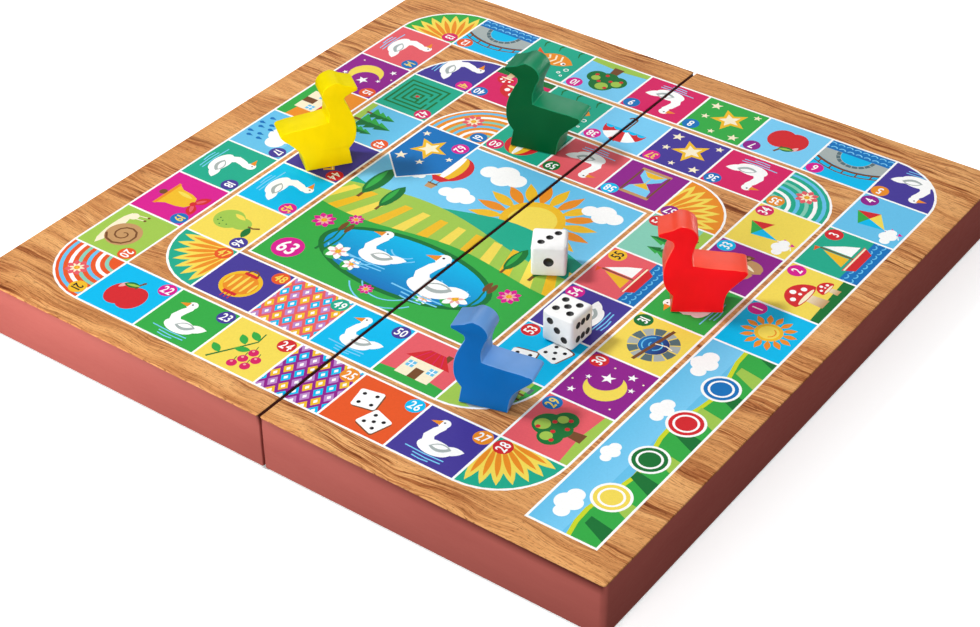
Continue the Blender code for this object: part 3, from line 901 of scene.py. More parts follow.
def track(sheet):
    """The spiral of numbered cells, from the start panel inwards."""
    value = 1
    corner_at = CELL_DEPTH / 2 - ROUNDEL_INSET
    for ring in range(RINGS):
        low = ring * RING_PITCH
        near = low + CELL_DEPTH
        far = TRACK_CELLS - near
        first = near - RING_PITCH if ring else START_LENGTH
        runs = [(first, far), (near, far), (near, far), (near, far - RING_PITCH)]
        for turns, (start, end) in enumerate(runs, 1):
            if value == LAST_CELL:
                return
            count = round(end - start)
            pitch = (end - start) / count
            for i in range(count):
                x0, x1 = start + i * pitch, start + (i + 1) * pitch
                shape = partial(box_points, x0, low, x1, near)
                centre = ((x0 + x1) / 2, (low + near) / 2)
                mark = (pitch / 2 - ROUNDEL_INSET, corner_at)
                numbered_cell(sheet, value, turns, turns, shape, centre, mark)
                value += 1
            shape = partial(quarter_points, end, near)
            centre = (end + CELL_DEPTH / 2, near - CELL_DEPTH / 2)
            numbered_cell(sheet, value, turns, turns + 1, shape, centre, (corner_at, corner_at))
            value += 1


def last_cell(sheet):
    """The pointed cell before the middle picture."""
    low = (RINGS - 1) * RING_PITCH
    near = low + CELL_DEPTH
    middle = low + CELL_DEPTH / 2
    end, tip = low + LAST_SHOULDER * CELL_DEPTH, low + LAST_TIP * CELL_DEPTH

    def pentagon(grow):
        x, y0, y1 = near - grow, low - grow, near + grow
        return [(x, y0), (end, y0), (tip + grow, middle), (end, y1), (x, y1)]

    numbered_cell(sheet, LAST_CELL, 3, 3, pentagon, ((near + end) / 2 + 0.1, middle), (-0.3, 0.3))


def start_panel(sheet):
    """Sky, fields and four coloured standing places at the beginning of the track."""
    half, high = START_LENGTH / 2, CELL_DEPTH / 2
    pen = cell(sheet, 1, 1, partial(box_points, 0, 0, START_LENGTH, CELL_DEPTH), (half, high), "sky")
    pen.rect(-half, 0, half, high, ("pale", "sky"))
    for height, ink in [(-0.06, "acid"), (-0.12, "green")]:
        hills = [(-half + half * i / 8, height + 0.07 * math.sin(i * 0.9)) for i in range(17)]
        pen.poly([(-half, -high), (half, -high)] + hills[::-1], ink)
    for i in range(9):
        x = -half + 0.12 + i * 0.47
        row = [(x, -high), (x + 0.24, -high), (x + 0.3, -0.13), (x + 0.16, -0.13)]
        pen.poly(row, "lime" if i % 2 else "leaf")
    scatter(pen, cloud, [(-1.55, 0.2, 1), (-0.55, 0.3, 0.7), (0.45, 0.22, 0.85), (1.5, 0.27, 1)])
    for i, ink in enumerate(("yellow", "leaf", "red", "blue")):
        spot = pen.at(-1.2 + 0.8 * i, -0.14)
        spot.disc(0, 0, 0.25, "white")
        spot.disc(0, 0, 0.215, ink)
        spot.ring(0, 0, 0.15, 0.03, "white")


# Middle picture


def middle_picture(sheet):
    """A pond in rolling fields under a big sun, inside the innermost ring."""
    low, high = (RINGS - 1) * RING_PITCH, TRACK_CELLS - RINGS * RING_PITCH
    middle, half = (low + high) / 2, (high - low) / 2
    pen = cell(sheet, 0, 0, partial(box_points, low, low, high, high), (middle, middle), "sky")
    pen.rect(-half, 0, half, half, ("pale", "sky"))
    big_sun(pen.at(0.75, 0.85, size=1.9))
    scatter(pen, cloud, [(-0.2, 1.5, 1.4), (1.45, 1.5, 1.2), (-0.45, 0.75, 1.1)])
    balloon(pen.at(-0.9, 1.15, size=1.1))
    rolling(pen, half, 0.45, 0.22, 1.6, 0.4, "teal")
    rolling(pen, half, 0.2, 0.2, 1.3, 2.4, "lime")
    field_rows(pen, half)
    rolling(pen, half, -0.35, 0.1, 1.9, 1.0, "green")
    scatter(pen, poplar, [(-1.55, 0.15, 1), (-1.15, 0, 0.8), (1.5, -0.1, 1), (1.1, -0.22, 0.75)])
    pond(pen)
    flowers = [(-1.55, -0.75, 0.44), (-1.2, -0.5, 0.3025), (1.5, -0.72, 0.4125), (1.62, -1.45, 0.33)]
    scatter(pen, blossom, flowers + [(-0.1, -1.66, 0.275)], "magenta", "blush")
    corner = GOAL_INSET - half / GOAL_SIZE
    roundel(pen.at(0, 0, size=GOAL_SIZE).at(corner, corner), LAST_CELL + 1, "magenta")


def big_sun(pen):
    for i in range(20):
        pen.at(0, 0, turn=18 * i).petal(0.2, 0, 0.28, 0.09, 0, "gold" if i % 2 else "orange", point=1.2)
    pen.disc(0, 0, 0.24, "gold")
    pen.disc(0, 0, 0.18, "yellow")


def rolling(pen, half, height, swing, waves_across, phase, ink):
    """A hill line over the whole width, down to the lower edge."""
    places = [half - 2 * half * i / 24 for i in range(25)]
    line = [(x, height + swing * math.sin(x * waves_across + phase)) for x in places]
    pen.poly([(-half, -half), (half, -half)] + line, ink)


def field_rows(pen, half):
    """Golden rows that fan out over the nearer slope."""
    for i in range(13):
        x0, x1 = -half + 0.12 + i * 0.3, -half * 1.6 + i * 0.5
        row = [(x0, 0.16), (x0 + 0.13, 0.16), (x1 + 0.3, -half), (x1, -half)]
        pen.poly(row, "gold" if i % 2 else "yellow")


def poplar(pen):
    pen.bar(0, -0.2, 0, 0.1, 0.05, "brown")
    pen.petal(0, -0.1, 0.75, 0.26, 90, "leaf", point=0.6)
    pen.petal(-0.03, 0, 0.55, 0.1, 92, "green")


def pond(pen):
    pen.disc(0, -1, 1.36, "leaf", squash=0.46)
    pen.disc(0, -1, 1.28, ("blue", "cyan"), squash=0.43)
    for x, y, radius in [(-0.75, -0.85, 0.5), (0.1, -1.3, 0.6), (0.8, -0.8, 0.36), (-0.2, -0.65, 0.3)]:
        for share in (1, 0.72):
            pen.band(x, y, radius * share, 0.022, 215, 325, "pale")
    for x, y, radius in [(-0.95, -1.25, 0.16), (-0.62, -1.38, 0.12), (0.95, -1.2, 0.17), (0.62, -1.42, 0.11)]:
        pen.slice(x, y, radius, 20, 340, "green")
        blossom(pen.at(x + 0.02, y + 0.04, size=0.45 * radius / 0.16), "white", "blush", petals=6)
    scatter(pen, goose, [(-0.45, -0.85, 1.15), (0.55, -0.95, 1.45)])
    for x in (-1.22, -1.12, 1.18, 1.26):
        pen.stroke([(x, -1.35), (x + 0.03, -1), (x - 0.02, -0.72)], 0.04, "leaf", end=0.02)
        pen.petal(x - 0.02, -0.84, 0.24, 0.08, 92, "brown", point=0.5)


# Outlines of the halves and handling of pieces


def half_outline(side, inset, outer, overhang=(0.0, 0.0), seam_trim=0.0):
    """Plan of a half in metres, in by inset all round, by seam_trim at the seam and by overhang elsewhere."""
    low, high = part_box(side + "_print_sheet")
    trims, radii = (overhang[0], seam_trim), (outer, SEAM_CORNER)
    if side == "right":
        trims, radii = trims[::-1], radii[::-1]
    left, right = [max(radius - inset, SMALLEST_CORNER) for radius in radii]
    x0, x1 = low.x + inset + trims[0], high.x - inset - trims[1]
    y0, y1 = low.y + inset + overhang[1], high.y - inset - overhang[1]
    centres = [(x1 - right, y1 - right, right), (x0 + left, y1 - left, left),
               (x0 + left, y0 + left, left), (x1 - right, y0 + right, right)]
    points = []
    for quarter, centre in enumerate(centres):
        points += arc_points(*centre, 90 * quarter, 90 * quarter + 90, CORNER_STEPS)
    return points


def rounding(radius):
    """Steps of a quarter round: how far it has gone sideways and down after each."""
    angles = [math.pi / 2 * i / EDGE_STEPS for i in range(EDGE_STEPS + 1)]
    return [(radius * math.sin(angle), radius * (1 - math.cos(angle))) for angle in angles]


def add_object(name, data):
    holder = bpy.data.objects.new(name, data)
    bpy.context.scene.collection.objects.link(holder)
    return holder


def add_piece(name, bm, materials):
    """Makes a finished edit mesh into an object of the scene."""
    mesh = bpy.data.meshes.new(name)
    bm.to_mesh(mesh)
    bm.free()
    for one in materials:
        mesh.materials.append(one)
    return add_object(name, mesh)


def settle(piece, degrees, body, slot, *nodes):
    """Shades a piece smooth up to an angle, lets it ride its body and stand for its nodes."""
    piece.data.shade_smooth()
    piece.data.set_sharp_from_angle(angle=math.radians(degrees))
    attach(piece, body)
    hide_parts(*nodes)
    return piece


def apply_modifiers(piece):
    graph = bpy.context.evaluated_depsgraph_get()
    mesh = bpy.data.meshes.new_from_object(piece.evaluated_get(graph))
    piece.modifiers.clear()
    piece.data = mesh


def carve(piece, bm, materials):
    """Takes the solids of an edit mesh away from a piece; the cut faces get these materials."""
    cutter = add_piece("cutter", bm, materials)
    cut = piece.modifiers.new("cut", "BOOLEAN")
    cut.operation = "DIFFERENCE"
    cut.solver = "EXACT"
    cut.material_mode = "TRANSFER"
    cut.object = cutter
    apply_modifiers(piece)
    bpy.data.objects.remove(cutter)


# Printed faces


def draw_print():
    """All shapes of the print, with the ground of each half first."""
    sheet = Sheet()
    for side in SIDES:
        outline = half_outline(side, SHEET_EDGE, PRINT_CORNER, seam_trim=SEAM_TRIM)
        sheet.add([(complex(x, y) - TRACK_CORNER) / TRACK_UNIT for x, y in outline], flat("tan"))
    start_panel(sheet)
    track(sheet)
    middle_picture(sheet)
    last_cell(sheet)
    return sheet


def cut_print(sheet):
    """Corner points, triangles and the shapes that cover each triangle."""
    points, faces = [], []
    for outline, *_ in sheet.shapes:
        faces.append(list(range(len(points), len(points) + len(outline))))
        points += [Vector((p.real, p.imag)) for p in outline]
    inside_only = 1
    made = delaunay_2d_cdt(points, [], faces, inside_only, CUT_TOLERANCE, True)
    return [complex(*p) for p in made[0]], made[2], made[5]


def printed_face(side, ground, sheet, cut, materials):
    """One half's sheet: the inlaid print on top, a rounded edge and a flat underside."""
    low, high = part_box(side + "_print_sheet")
    points, triangles, covering = cut
    bm = bmesh.new()
    ink = bm.loops.layers.float_color.new("ink")
    verts = {}
    for triangle, cover in zip(triangles, covering):
        if ground not in cover:
            continue
        for i in triangle:
            if i not in verts:
                spot = TRACK_CORNER + points[i] * TRACK_UNIT
                verts[i] = bm.verts.new((spot.real, spot.imag, high.z))
        face = bm.faces.new([verts[i] for i in triangle])
        shape = sheet.top_shape(cover)
        face.material_index = 0 if shape == ground else 1
        colour = sheet.shapes[shape][1]
        for loop, i in zip(face.loops, triangle):
            loop[ink] = colour(points[i])
    grow_edge(bm, (low + high) / 2, high.z - low.z)
    piece = add_piece(side + "_print", bm, materials)
    settle(piece, BOARD_SMOOTH, side + "_half", "print", side + "_print_sheet")


def grow_edge(bm, centre, thickness):
    """Rounds the open edge of a flat face over, takes it down and closes the underside."""
    steps = rounding(SHEET_EDGE)
    moves = [(b[0] - a[0], b[1] - a[1]) for a, b in zip(steps, steps[1:])]
    moves.append((0.0, thickness - SHEET_EDGE))
    for outward, down in moves:
        edges = [edge for edge in bm.edges if edge.is_boundary]
        grown = bmesh.ops.extrude_edge_only(bm, edges=edges)["geom"]
        rim = [item for item in grown if isinstance(item, bmesh.types.BMVert)]
        shifts = [edge_normal(vert, centre) * outward - Vector((0, 0, down)) for vert in rim]
        for vert, shift in zip(rim, shifts):
            vert.co += shift
    # The print's edge faces at the seam get the dark third material, painted shade for the deep gap between
    # the halves
    for item in grown:
        if isinstance(item, bmesh.types.BMFace) and abs(item.calc_center_median().x) < WALL:
            item.material_index = 2
    open_edges = [edge for edge in bm.edges if edge.is_boundary]
    bmesh.ops.holes_fill(bm, edges=open_edges, sides=0)
    bmesh.ops.recalc_face_normals(bm, faces=bm.faces)


def edge_normal(vert, centre):
    """Level direction away from the middle, mitred between the two open edges at a corner."""
    normals = []
    for edge in vert.link_edges:
        if edge.is_boundary:
            run = edge.other_vert(vert).co - vert.co
            normal = Vector((run.y, -run.x, 0)).normalized()
            normals.append(normal if normal.dot(vert.co - centre) > 0 else -normal)
    first, second = normals
    return (first + second) / (1 + first.dot(second))


# Painted case


def case_profile(side):
    """Section of the wall as (inset, height, material), once round."""
    wall_low, wall_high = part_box(side + "_outer_wall")
    panel_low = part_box(side + "_top_panel")[0]
    rim, top = wall_low.z, wall_high.z
    rebate = panel_low.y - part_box(side + "_print_sheet")[0].y - FIT_GAP
    step = panel_low.z - FIT_GAP
    curve = rounding(CASE_EDGE)
    profile = [(CASE_EDGE - sideways, top - down, 0) for sideways, down in curve]
    profile += [(down, rim + CASE_EDGE - sideways, 0) for sideways, down in curve]
    profile += [(WALL - CASE_EDGE + sideways, rim + down, 0) for sideways, down in curve]
    profile[-1] = (WALL, rim + CASE_EDGE, 1)
    return profile + [(WALL, step, 1), (rebate, step, 1), (rebate, top, 0)]


def case_half(side, materials):
    """The four walls of a tray as one painted frame, cut for the hinge leaves and magnets."""
    profile = case_profile(side)
    bm = bmesh.new()
    rings = []
    for inset, z, _ in profile:
        overhang = (SIDE_OVERHANG, FRONT_OVERHANG) if inset < WALL / 2 else (0.0, 0.0)
        outline = half_outline(side, inset, CASE_CORNER, overhang)
        rings.append([bm.verts.new((x, y, z)) for x, y in outline])
    for ring, below, (_, _, finish) in zip(rings, rings[1:] + rings[:1], profile):
        for corners in zip(ring, below, below[1:] + below[:1], ring[1:] + ring[:1]):
            bm.faces.new(corners).material_index = finish
    bmesh.ops.remove_doubles(bm, verts=bm.verts, dist=WELD)
    bmesh.ops.recalc_face_normals(bm, faces=bm.faces)
    piece = add_piece(side + "_case", bm, materials)
    carve(piece, seats(side), [])
    walls = [side + "_" + wall + "_wall" for wall in ("front", "back", "outer", "hinge")]
    settle(piece, BOARD_SMOOTH, side + "_half", "wall_paint", *walls)


def seats(side):
    """Room in the rims for the hinge leaves and the magnets."""
    bm = bmesh.new()
    grow = Vector((FIT_GAP, FIT_GAP, FIT_GAP))
    for place in ("front", "back"):
        low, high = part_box(place + "_hinge_" + side + "_leaf")
        low, high = low - grow, high + grow
        low.z -= WALL
        if side == "left":
            high.x += WALL
        else:
            low.x -= WALL
        size = Matrix.Diagonal((*(high - low), 1.0))
        bmesh.ops.create_cube(bm, size=1.0, matrix=Matrix.Translation((low + high) / 2) @ size)
        low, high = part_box(side + "_" + place + "_magnet")
        radius = (high.y - low.y) / 2 + MAGNET_GAP
        depth = high.z - low.z + FIT_GAP + WALL
        middle = Vector(((low.x + high.x) / 2, (low.y + high.y) / 2, high.z + FIT_GAP - depth / 2))
        bmesh.ops.create_cone(bm, cap_ends=True, segments=MAGNET_SIDES, radius1=radius, radius2=radius,
                              depth=depth, matrix=Matrix.Translation(middle))
    return bm


# Pawns and dice


def pawn(colour, materials):
    """A goose cut from board, with its sawn edges rounded and painted over."""
    node = colour + "_goose"
    bm = bmesh.new()
    bm.from_mesh(NODES[node].data)
    bmesh.ops.remove_doubles(bm, verts=bm.verts, dist=WELD)
    bmesh.ops.dissolve_limit(bm, angle_limit=math.radians(1), verts=bm.verts, edges=bm.edges)
    across = max(bm.faces, key=bmesh.types.BMFace.calc_area).normal.copy()
    # The sawn edges get the paler colour, a painted highlight; faces level with the sides keep the flat paint
    for face in bm.faces:
        face.material_index = 0 if abs(face.normal.dot(across)) > FLAT_COSINE else 1
    piece = add_piece(node + "_painted", bm, materials)
    bevel = piece.modifiers.new("rounded", "BEVEL")
    bevel.width = PAWN_ROUNDING
    bevel.segments = PAWN_ROUNDING_STEPS
    bevel.limit_method = "ANGLE"
    bevel.angle_limit = math.radians(28)
    bevel.material = 1
    apply_modifiers(piece)
    return settle(piece, PAWN_SMOOTH, colour + "_pawn", colour + "_paint", node)


def turned(degrees, axis):
    return Matrix.Rotation(math.radians(degrees), 4, axis)


def die(node, tumble, turn, materials):
    """A moulded die with rounded edges and sunk, painted pips."""
    low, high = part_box(node)
    side = high.z - low.z
    bm = bmesh.new()
    bmesh.ops.create_cube(bm, size=side)
    bmesh.ops.bevel(bm, geom=bm.edges[:], offset=DIE_BEVEL, segments=DIE_BEVEL_STEPS, profile=0.5,
                    affect="EDGES")
    piece = add_piece(node + "_moulded", bm, materials)
    carve(piece, pip_balls(side), materials[1:])
    piece.data.transform(Matrix.Translation((low + high) / 2) @ turned(turn, "Z") @ turned(tumble, "Y"))
    settle(piece, DIE_SMOOTH, node, "die_white", node)


def pip_balls(side):
    bm = bmesh.new()
    for count, (axis, degrees) in FACE_TURNS.items():
        radius = ACE_RADIUS if count == 1 else PIP_RADIUS
        ball = (radius ** 2 + PIP_DEPTH ** 2) / (2 * PIP_DEPTH)
        for column, row in PIPS[count]:
            spot = Vector((column * PIP_SPACING, row * PIP_SPACING, side / 2 + ball - PIP_DEPTH))
            place = turned(degrees, axis) @ Matrix.Translation(spot)
            bmesh.ops.create_uvsphere(bm, u_segments=24, v_segments=14, radius=ball, matrix=place)
    return bm


# Materials


class Nodes:
    """Adds nodes to a material or to the sky."""

    def __init__(self, tree):
        self.tree = tree

    def feed(self, socket, value):
        """Links an input to another node's output, or sets it to a value."""
        if isinstance(value, bpy.types.NodeSocket):
            self.tree.links.new(value, socket)
        else:
            socket.default_value = value

    def node(self, kind, **inputs):
        """A new node with what goes into its inputs, their names written with _ for a space."""
        node = self.tree.nodes.new("ShaderNode" + kind)
        for name, value in inputs.items():
            self.feed(node.inputs[name.replace("_", " ")], value)
        return node


class Finish(Nodes):
    """A procedural material under construction, in the piece's own coordinates."""

    def __init__(self, name, roughness, metallic=0.0, gloss=0.5):
        self.material = bpy.data.materials.new(name)
        self.material.use_nodes = True
        super().__init__(self.material.node_tree)
        self.put("Roughness", roughness)
        self.put("Metallic", metallic)
        self.put("Specular IOR Level", gloss)
        self.place = self.node("TexCoord").outputs["Object"]

    def put(self, name, value):
        """Feeds an input of the surface itself."""
        self.feed(self.tree.nodes["Principled BSDF"].inputs[name], value)

    def noise(self, scale, detail=4.0, roughness=0.55, distortion=0.0, layer=0.0):
        """Cloudy noise; scale is how many features fit in a metre along X, Y and Z."""
        mapping = self.node("Mapping", Vector=self.place, Scale=scale, Location=(0, 0, layer))
        texture = self.node("TexNoise", Vector=mapping.outputs["Vector"], Scale=1.0, Detail=detail,
                            Roughness=roughness, Distortion=distortion)
        return texture.outputs["Fac"]

    def sway(self, scale, reach):
        """Bends what is drawn from here on to and fro along Y, by up to about reach in metres."""
        swing = self.math("SUBTRACT", self.noise(scale, detail=2.0), 0.5)
        across = self.node("CombineXYZ", Y=self.math("MULTIPLY", swing, 2 * reach))
        moved = self.node("VectorMath")
        self.feed(moved.inputs[0], self.place)
        self.feed(moved.inputs[1], across.outputs["Vector"])
        self.place = moved.outputs["Vector"]

    def along(self, axis, stops):
        """Colours by place along an axis in metres, lowest first."""
        low, high = stops[0][0], stops[-1][0]
        place = self.node("SeparateXYZ", Vector=self.place).outputs[axis]
        share = self.node("MapRange", Value=place, From_Min=low, From_Max=high).outputs["Result"]
        return self.ramp(share, [((at - low) / (high - low), colour) for at, colour in stops])

    def math(self, operation, first, second):
        node = self.node("Math")
        node.operation = operation
        self.feed(node.inputs[0], first)
        self.feed(node.inputs[1], second)
        return node.outputs["Value"]

    def ramp(self, source, stops):
        node = self.node("ValToRGB", Fac=source)
        elements = node.color_ramp.elements
        while len(elements) < len(stops):
            elements.new(0.5)
        for element, (position, colour) in zip(elements, stops):
            element.position = position
            element.color = colour
        return node.outputs["Color"]

    def mottle(self, source, dark, light):
        """Two colours that cloudy noise blends."""
        return self.ramp(source, [(0.3, dark), (0.7, light)])

    def blend(self, mode, share, first, second):
        node = self.node("Mix")
        node.data_type = "RGBA"
        node.blend_type = mode
        for index, value in ((0, share), (6, first), (7, second)):
            self.feed(node.inputs[index], value)
        return node.outputs[2]

    def colour(self, source):
        self.put("Base Color", source)

    def rough(self, source, low, high):
        spread = self.node("MapRange", Value=source, From_Min=0.3, From_Max=0.7, To_Min=low, To_Max=high)
        self.put("Roughness", spread.outputs["Result"])

    def bump(self, source, strength, distance):
        node = self.node("Bump", Height=source, Strength=strength, Distance=distance)
        self.put("Normal", node.outputs["Normal"])


def laminate(finish):
    """The thin satin film over the print."""
    finish.put("Specular IOR Level", 0.05)
    film = finish.noise((2600, 2600, 2600), detail=2.0)
    finish.rough(film, 0.40, 0.48)
    finish.bump(film, 0.04, 0.00002)
    return finish.material


def wood_print():
    """Printed wood grain along X: broad tone, ring lines in bundles, dark streaks and short pores."""
    finish = Finish("wood_print", 0.42)
    finish.sway((22, 34, 1), GRAIN_SWAY)
    broad = finish.noise((8, 60, 1), detail=3.0, distortion=0.8, layer=GRAIN_LAYER)
    streaks = finish.noise((20, 330, 1), detail=6.0, roughness=0.65, distortion=0.5, layer=GRAIN_LAYER)
    tone = finish.math("ADD", finish.math("MULTIPLY", broad, 0.65), finish.math("MULTIPLY", streaks, 0.35))
    base = finish.ramp(tone, [
        (0.36, screen(188, 121, 71)),
        (0.43, screen(210, 146, 88)),
        (0.51, screen(225, 163, 101)),
        (0.62, screen(236, 178, 115)),
    ])
    lines = finish.noise((20, 660, 1), detail=5.0, roughness=0.65, distortion=0.9)
    dark = finish.ramp(lines, [(0.36, screen(136, 96, 82)), (0.47, screen(206, 176, 164)), (0.55, WHITE)])
    clusters = finish.noise((11, 62, 1), detail=2.0, distortion=0.5, layer=GRAIN_LAYER)
    dark = finish.blend("MIX", finish.ramp(clusters, [(0.45, BLACK), (0.61, WHITE)]), WHITE, dark)
    fibres = finish.noise((48, 2000, 1), detail=3.0, roughness=0.6)
    faint = finish.ramp(fibres, [(0.36, screen(158, 112, 84)), (0.48, WHITE)])
    pores = finish.noise((330, 2700, 1), detail=2.0, roughness=0.7)
    ticks = finish.ramp(pores, [(0.34, screen(128, 82, 62)), (0.44, WHITE)])
    wood = finish.blend("MULTIPLY", 1.0, base, dark)
    wood = finish.blend("MULTIPLY", 0.5, wood, faint)
    finish.colour(finish.blend("MULTIPLY", 0.6, wood, ticks))
    return laminate(finish)


def ink_print():
    """Flat inks of the shapes, with the faint mottle of a printed sheet."""
    finish = Finish("ink_print", 0.42)
    attribute = finish.node("Attribute")
    attribute.attribute_name = "ink"
    tint = finish.mottle(finish.noise((1400, 1400, 1400)), screen(248, 248, 249), WHITE)
    finish.colour(finish.blend("MULTIPLY", 1.0, attribute.outputs["Color"], tint))
    return laminate(finish)


def wall_paint():
    """Salmon red satin paint, rolled on along the walls, darkened by painted shade under the print's edge and
    at the top of the seam.
    """
    finish = Finish("wall_paint", 0.5, gloss=0.25)
    tone = finish.noise((14, 14, 60), detail=5.0)
    paint = finish.mottle(tone, screen(172, 89, 81), screen(182, 97, 88))
    # Painted shade: the paint darkens by height under the print's edge, by a share that changes along X
    shaded = finish.blend("MULTIPLY", finish.along("X", WALL_SHADE_SHARE), paint, finish.along("Z", WALL_PAINTED_SHADE))
    finish.colour(shaded)
    grain = finish.noise((220, 220, 900), detail=5.0)
    finish.rough(grain, 0.46, 0.60)
    finish.bump(grain, 0.08, 0.00008)
    return finish.material


def bare_board(name, dark, light):
    """Unpainted fibreboard: pale fibres in all directions."""
    finish = Finish(name, 0.8)
    base = finish.mottle(finish.noise((90, 90, 90), detail=6.0), dark, light)
    flecks = finish.noise((1500, 1500, 1500), detail=3.0)
    shadow = finish.ramp(flecks, [(0.35, screen(205, 190, 170)), (0.55, WHITE)])
    finish.colour(finish.blend("MULTIPLY", 0.7, base, shadow))
    finish.rough(flecks, 0.7, 0.9)
    finish.bump(flecks, 0.25, 0.0002)
    return finish.material


def pawn_paint(name, colour, gloss):
    """Toy paint over sawn board, with a little of the grain showing through."""
    finish = Finish(name, 0.4, gloss=gloss)
    tint = finish.mottle(finish.noise((80, 80, 40)), screen(240, 240, 240), WHITE)
    finish.colour(finish.blend("MULTIPLY", 1.0, colour, tint))
    grain = finish.noise((260, 260, 1200))
    finish.rough(grain, 0.34, 0.46)
    finish.bump(grain, 0.10, 0.00012)
    return finish.material


def moulded_white():
    finish = Finish("die_white", 0.22)
    tone = finish.noise((250, 250, 250), detail=3.0)
    finish.colour(finish.mottle(tone, screen(243, 243, 241), screen(250, 250, 249)))
    finish.rough(tone, 0.18, 0.28)
    finish.bump(finish.noise((1800, 1800, 1800), detail=2.0), 0.03, 0.00005)
    return finish.material


def pip_black():
    finish = Finish("pip_black", 0.45)
    tone = finish.noise((1500, 1500, 1500), detail=3.0)
    finish.colour(finish.mottle(tone, screen(14, 14, 15), screen(30, 29, 30)))
    finish.rough(tone, 0.38, 0.55)
    return finish.material


def metal(name, dark, light, roughness):
    """Drawn and tumbled metal with fine scratches along the hinge."""
    finish = Finish(name, roughness, metallic=1.0)
    finish.colour(finish.mottle(finish.noise((180, 180, 180), detail=5.0), dark, light))
    scratches = finish.noise((5200, 260, 5200), detail=3.0)
    finish.rough(scratches, roughness - 0.07, roughness + 0.1)
    finish.bump(scratches, 0.08, 0.00005)
    return finish.material


def floor_finish():
    """A pale floor that glows a little, so that shadows on it stay faint, save in the dark under the seam."""
    finish = Finish("pale_floor", 0.9)
    tone = finish.noise((3, 3, 3), detail=3.0)
    finish.colour(finish.mottle(tone, screen(249, 249, 249), screen(252, 252, 252)))
    finish.put("Emission Color", WHITE)
    under_seam = finish.math("MULTIPLY", finish.along("X", UNDER_SEAM_X), finish.along("Y", UNDER_SEAM_Y))
    dimmed = finish.math("MULTIPLY", under_seam, -FLOOR_GLOW)
    finish.put("Emission Strength", finish.math("ADD", dimmed, FLOOR_GLOW))
    return finish.material


def dress_nodes():
    """Finishes for the nodes that are shown as they are."""
    finishes = {
        "brass": metal("brass", screen(196, 152, 82), screen(226, 186, 112), 0.28),
        "nickel": metal("nickel", screen(182, 182, 184), screen(212, 212, 215), 0.24),
        "bare_board": bare_board("bare_board", screen(196, 166, 128), screen(216, 188, 150)),
    }
    for part in frame["record"]["subparts"]:
        if part["material_slot"] in finishes:
            materials = NODES[part["node"]].data.materials
            materials.clear()
            materials.append(finishes[part["material_slot"]])


# Stage


def add_floor():
    bm = bmesh.new()
    bmesh.ops.create_grid(bm, x_segments=1, y_segments=1, size=FLOOR_HALF)
    floor = add_piece("floor", bm, [floor_finish()])
    floor.visible_diffuse = False
    floor.visible_glossy = False
    floor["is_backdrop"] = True


def add_light(name, place, aim, size, watts):
    lamp = bpy.data.lights.new(name, "AREA")
    lamp.shape = "DISK"
    lamp.size = size
    lamp.energy = watts
    holder = add_object(name, lamp)
    holder.location = place
    holder.rotation_euler = (Vector(aim) - Vector(place)).to_track_quat("-Z", "Y").to_euler()
    holder.visible_camera = False
    return holder


def add_sky():
    """Even light from above the horizon, and none from below it."""
    world = bpy.data.worlds.new("studio")
    world.use_nodes = True
    sky = Nodes(world.node_tree)
    direction = sky.node("SeparateXYZ", Vector=sky.node("TexCoord").outputs["Generated"])
    above = sky.node("MapRange", Value=direction.outputs["Z"], From_Min=-SKY_HORIZON, From_Max=SKY_HORIZON,
                     To_Max=SKY_STRENGTH)
    backdrop = sky.tree.nodes["Background"]
    sky.feed(backdrop.inputs["Color"], WHITE)
    sky.feed(backdrop.inputs["Strength"], above.outputs["Result"])
    bpy.context.scene.world = world


def linked_pieces(name, pieces, state):
    """A group of pieces that a light takes in or leaves out."""
    group = bpy.data.collections.new(name)
    for piece in pieces:
        group.objects.link(piece)
    for member in group.collection_objects:
        member.light_linking.link_state = state
    return group


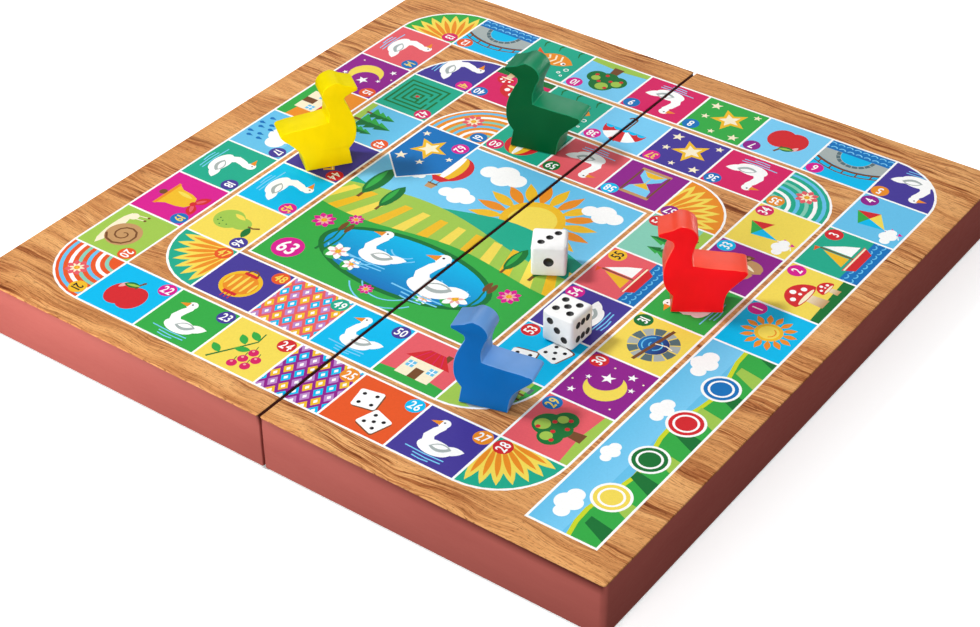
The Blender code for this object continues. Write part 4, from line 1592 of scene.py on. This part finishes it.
def add_lights(pawns):
    """Sky and lamps. The pawns have a key light of their own, so no neck throws shade on a back."""
    add_sky()
    lamps = {light[0]: add_light(*light) for light in LIGHTS}
    lamps["key_light"].light_linking.receiver_collection = linked_pieces("not_pawns", pawns, "EXCLUDE")
    own_key = add_light(*PAWN_LIGHT)
    own_key.light_linking.receiver_collection = linked_pieces("pawns", pawns, "INCLUDE")
    own_key.light_linking.blocker_collection = linked_pieces("no_shade", pawns, "EXCLUDE")


def add_camera():
    lens = bpy.data.cameras.new("camera")
    lens.lens = CAMERA_LENS
    lens.clip_start = 0.01
    holder = add_object("camera", lens)
    holder.location = CAMERA_PLACE
    look = (CAMERA_AIM - CAMERA_PLACE).to_track_quat("-Z", "Y")
    holder.rotation_mode = "QUATERNION"
    holder.rotation_quaternion = look @ Quaternion((0, 0, 1), math.radians(CAMERA_ROLL))
    bpy.context.scene.camera = holder


def build():
    sheet = draw_print()
    cut = cut_print(sheet)
    # Dark board for the print's edges at the seam: painted shade for the gap between the halves
    seam_shade_board = bare_board("seam_painted_shade", screen(48, 30, 24), screen(66, 42, 34))
    print_materials = [wood_print(), ink_print(), seam_shade_board]
    inside = bare_board("inside_board", screen(190, 160, 122), screen(212, 184, 146))
    case_materials = [wall_paint(), inside]
    for ground, side in enumerate(SIDES):
        printed_face(side, ground, sheet, cut, print_materials)
        case_half(side, case_materials)
    pawns = []
    # Each pawn's edge colour is paler than its flat paint: a painted highlight
    for colour, (flat_paint, sheen_edge_paint, edge_gloss) in PAWN_PAINTS_AND_SHEEN.items():
        flats = pawn_paint(colour + "_paint", screen(*flat_paint), FLAT_GLOSS)
        edges = pawn_paint(colour + "_edge", screen(*sheen_edge_paint), edge_gloss)
        pawns.append(pawn(colour, [flats, edges]))
    die_materials = [moulded_white(), pip_black()]
    for node, tumble, turn in DICE:
        die(node, tumble, turn, die_materials)
    dress_nodes()
    add_floor()
    add_lights(pawns)
    add_camera()
    bpy.context.scene.view_settings.view_transform = "Standard"


build()
boxes = {"cad": cad_box, "visual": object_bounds()}
{name: [list(corner) for corner in box] for name, box in boxes.items()}
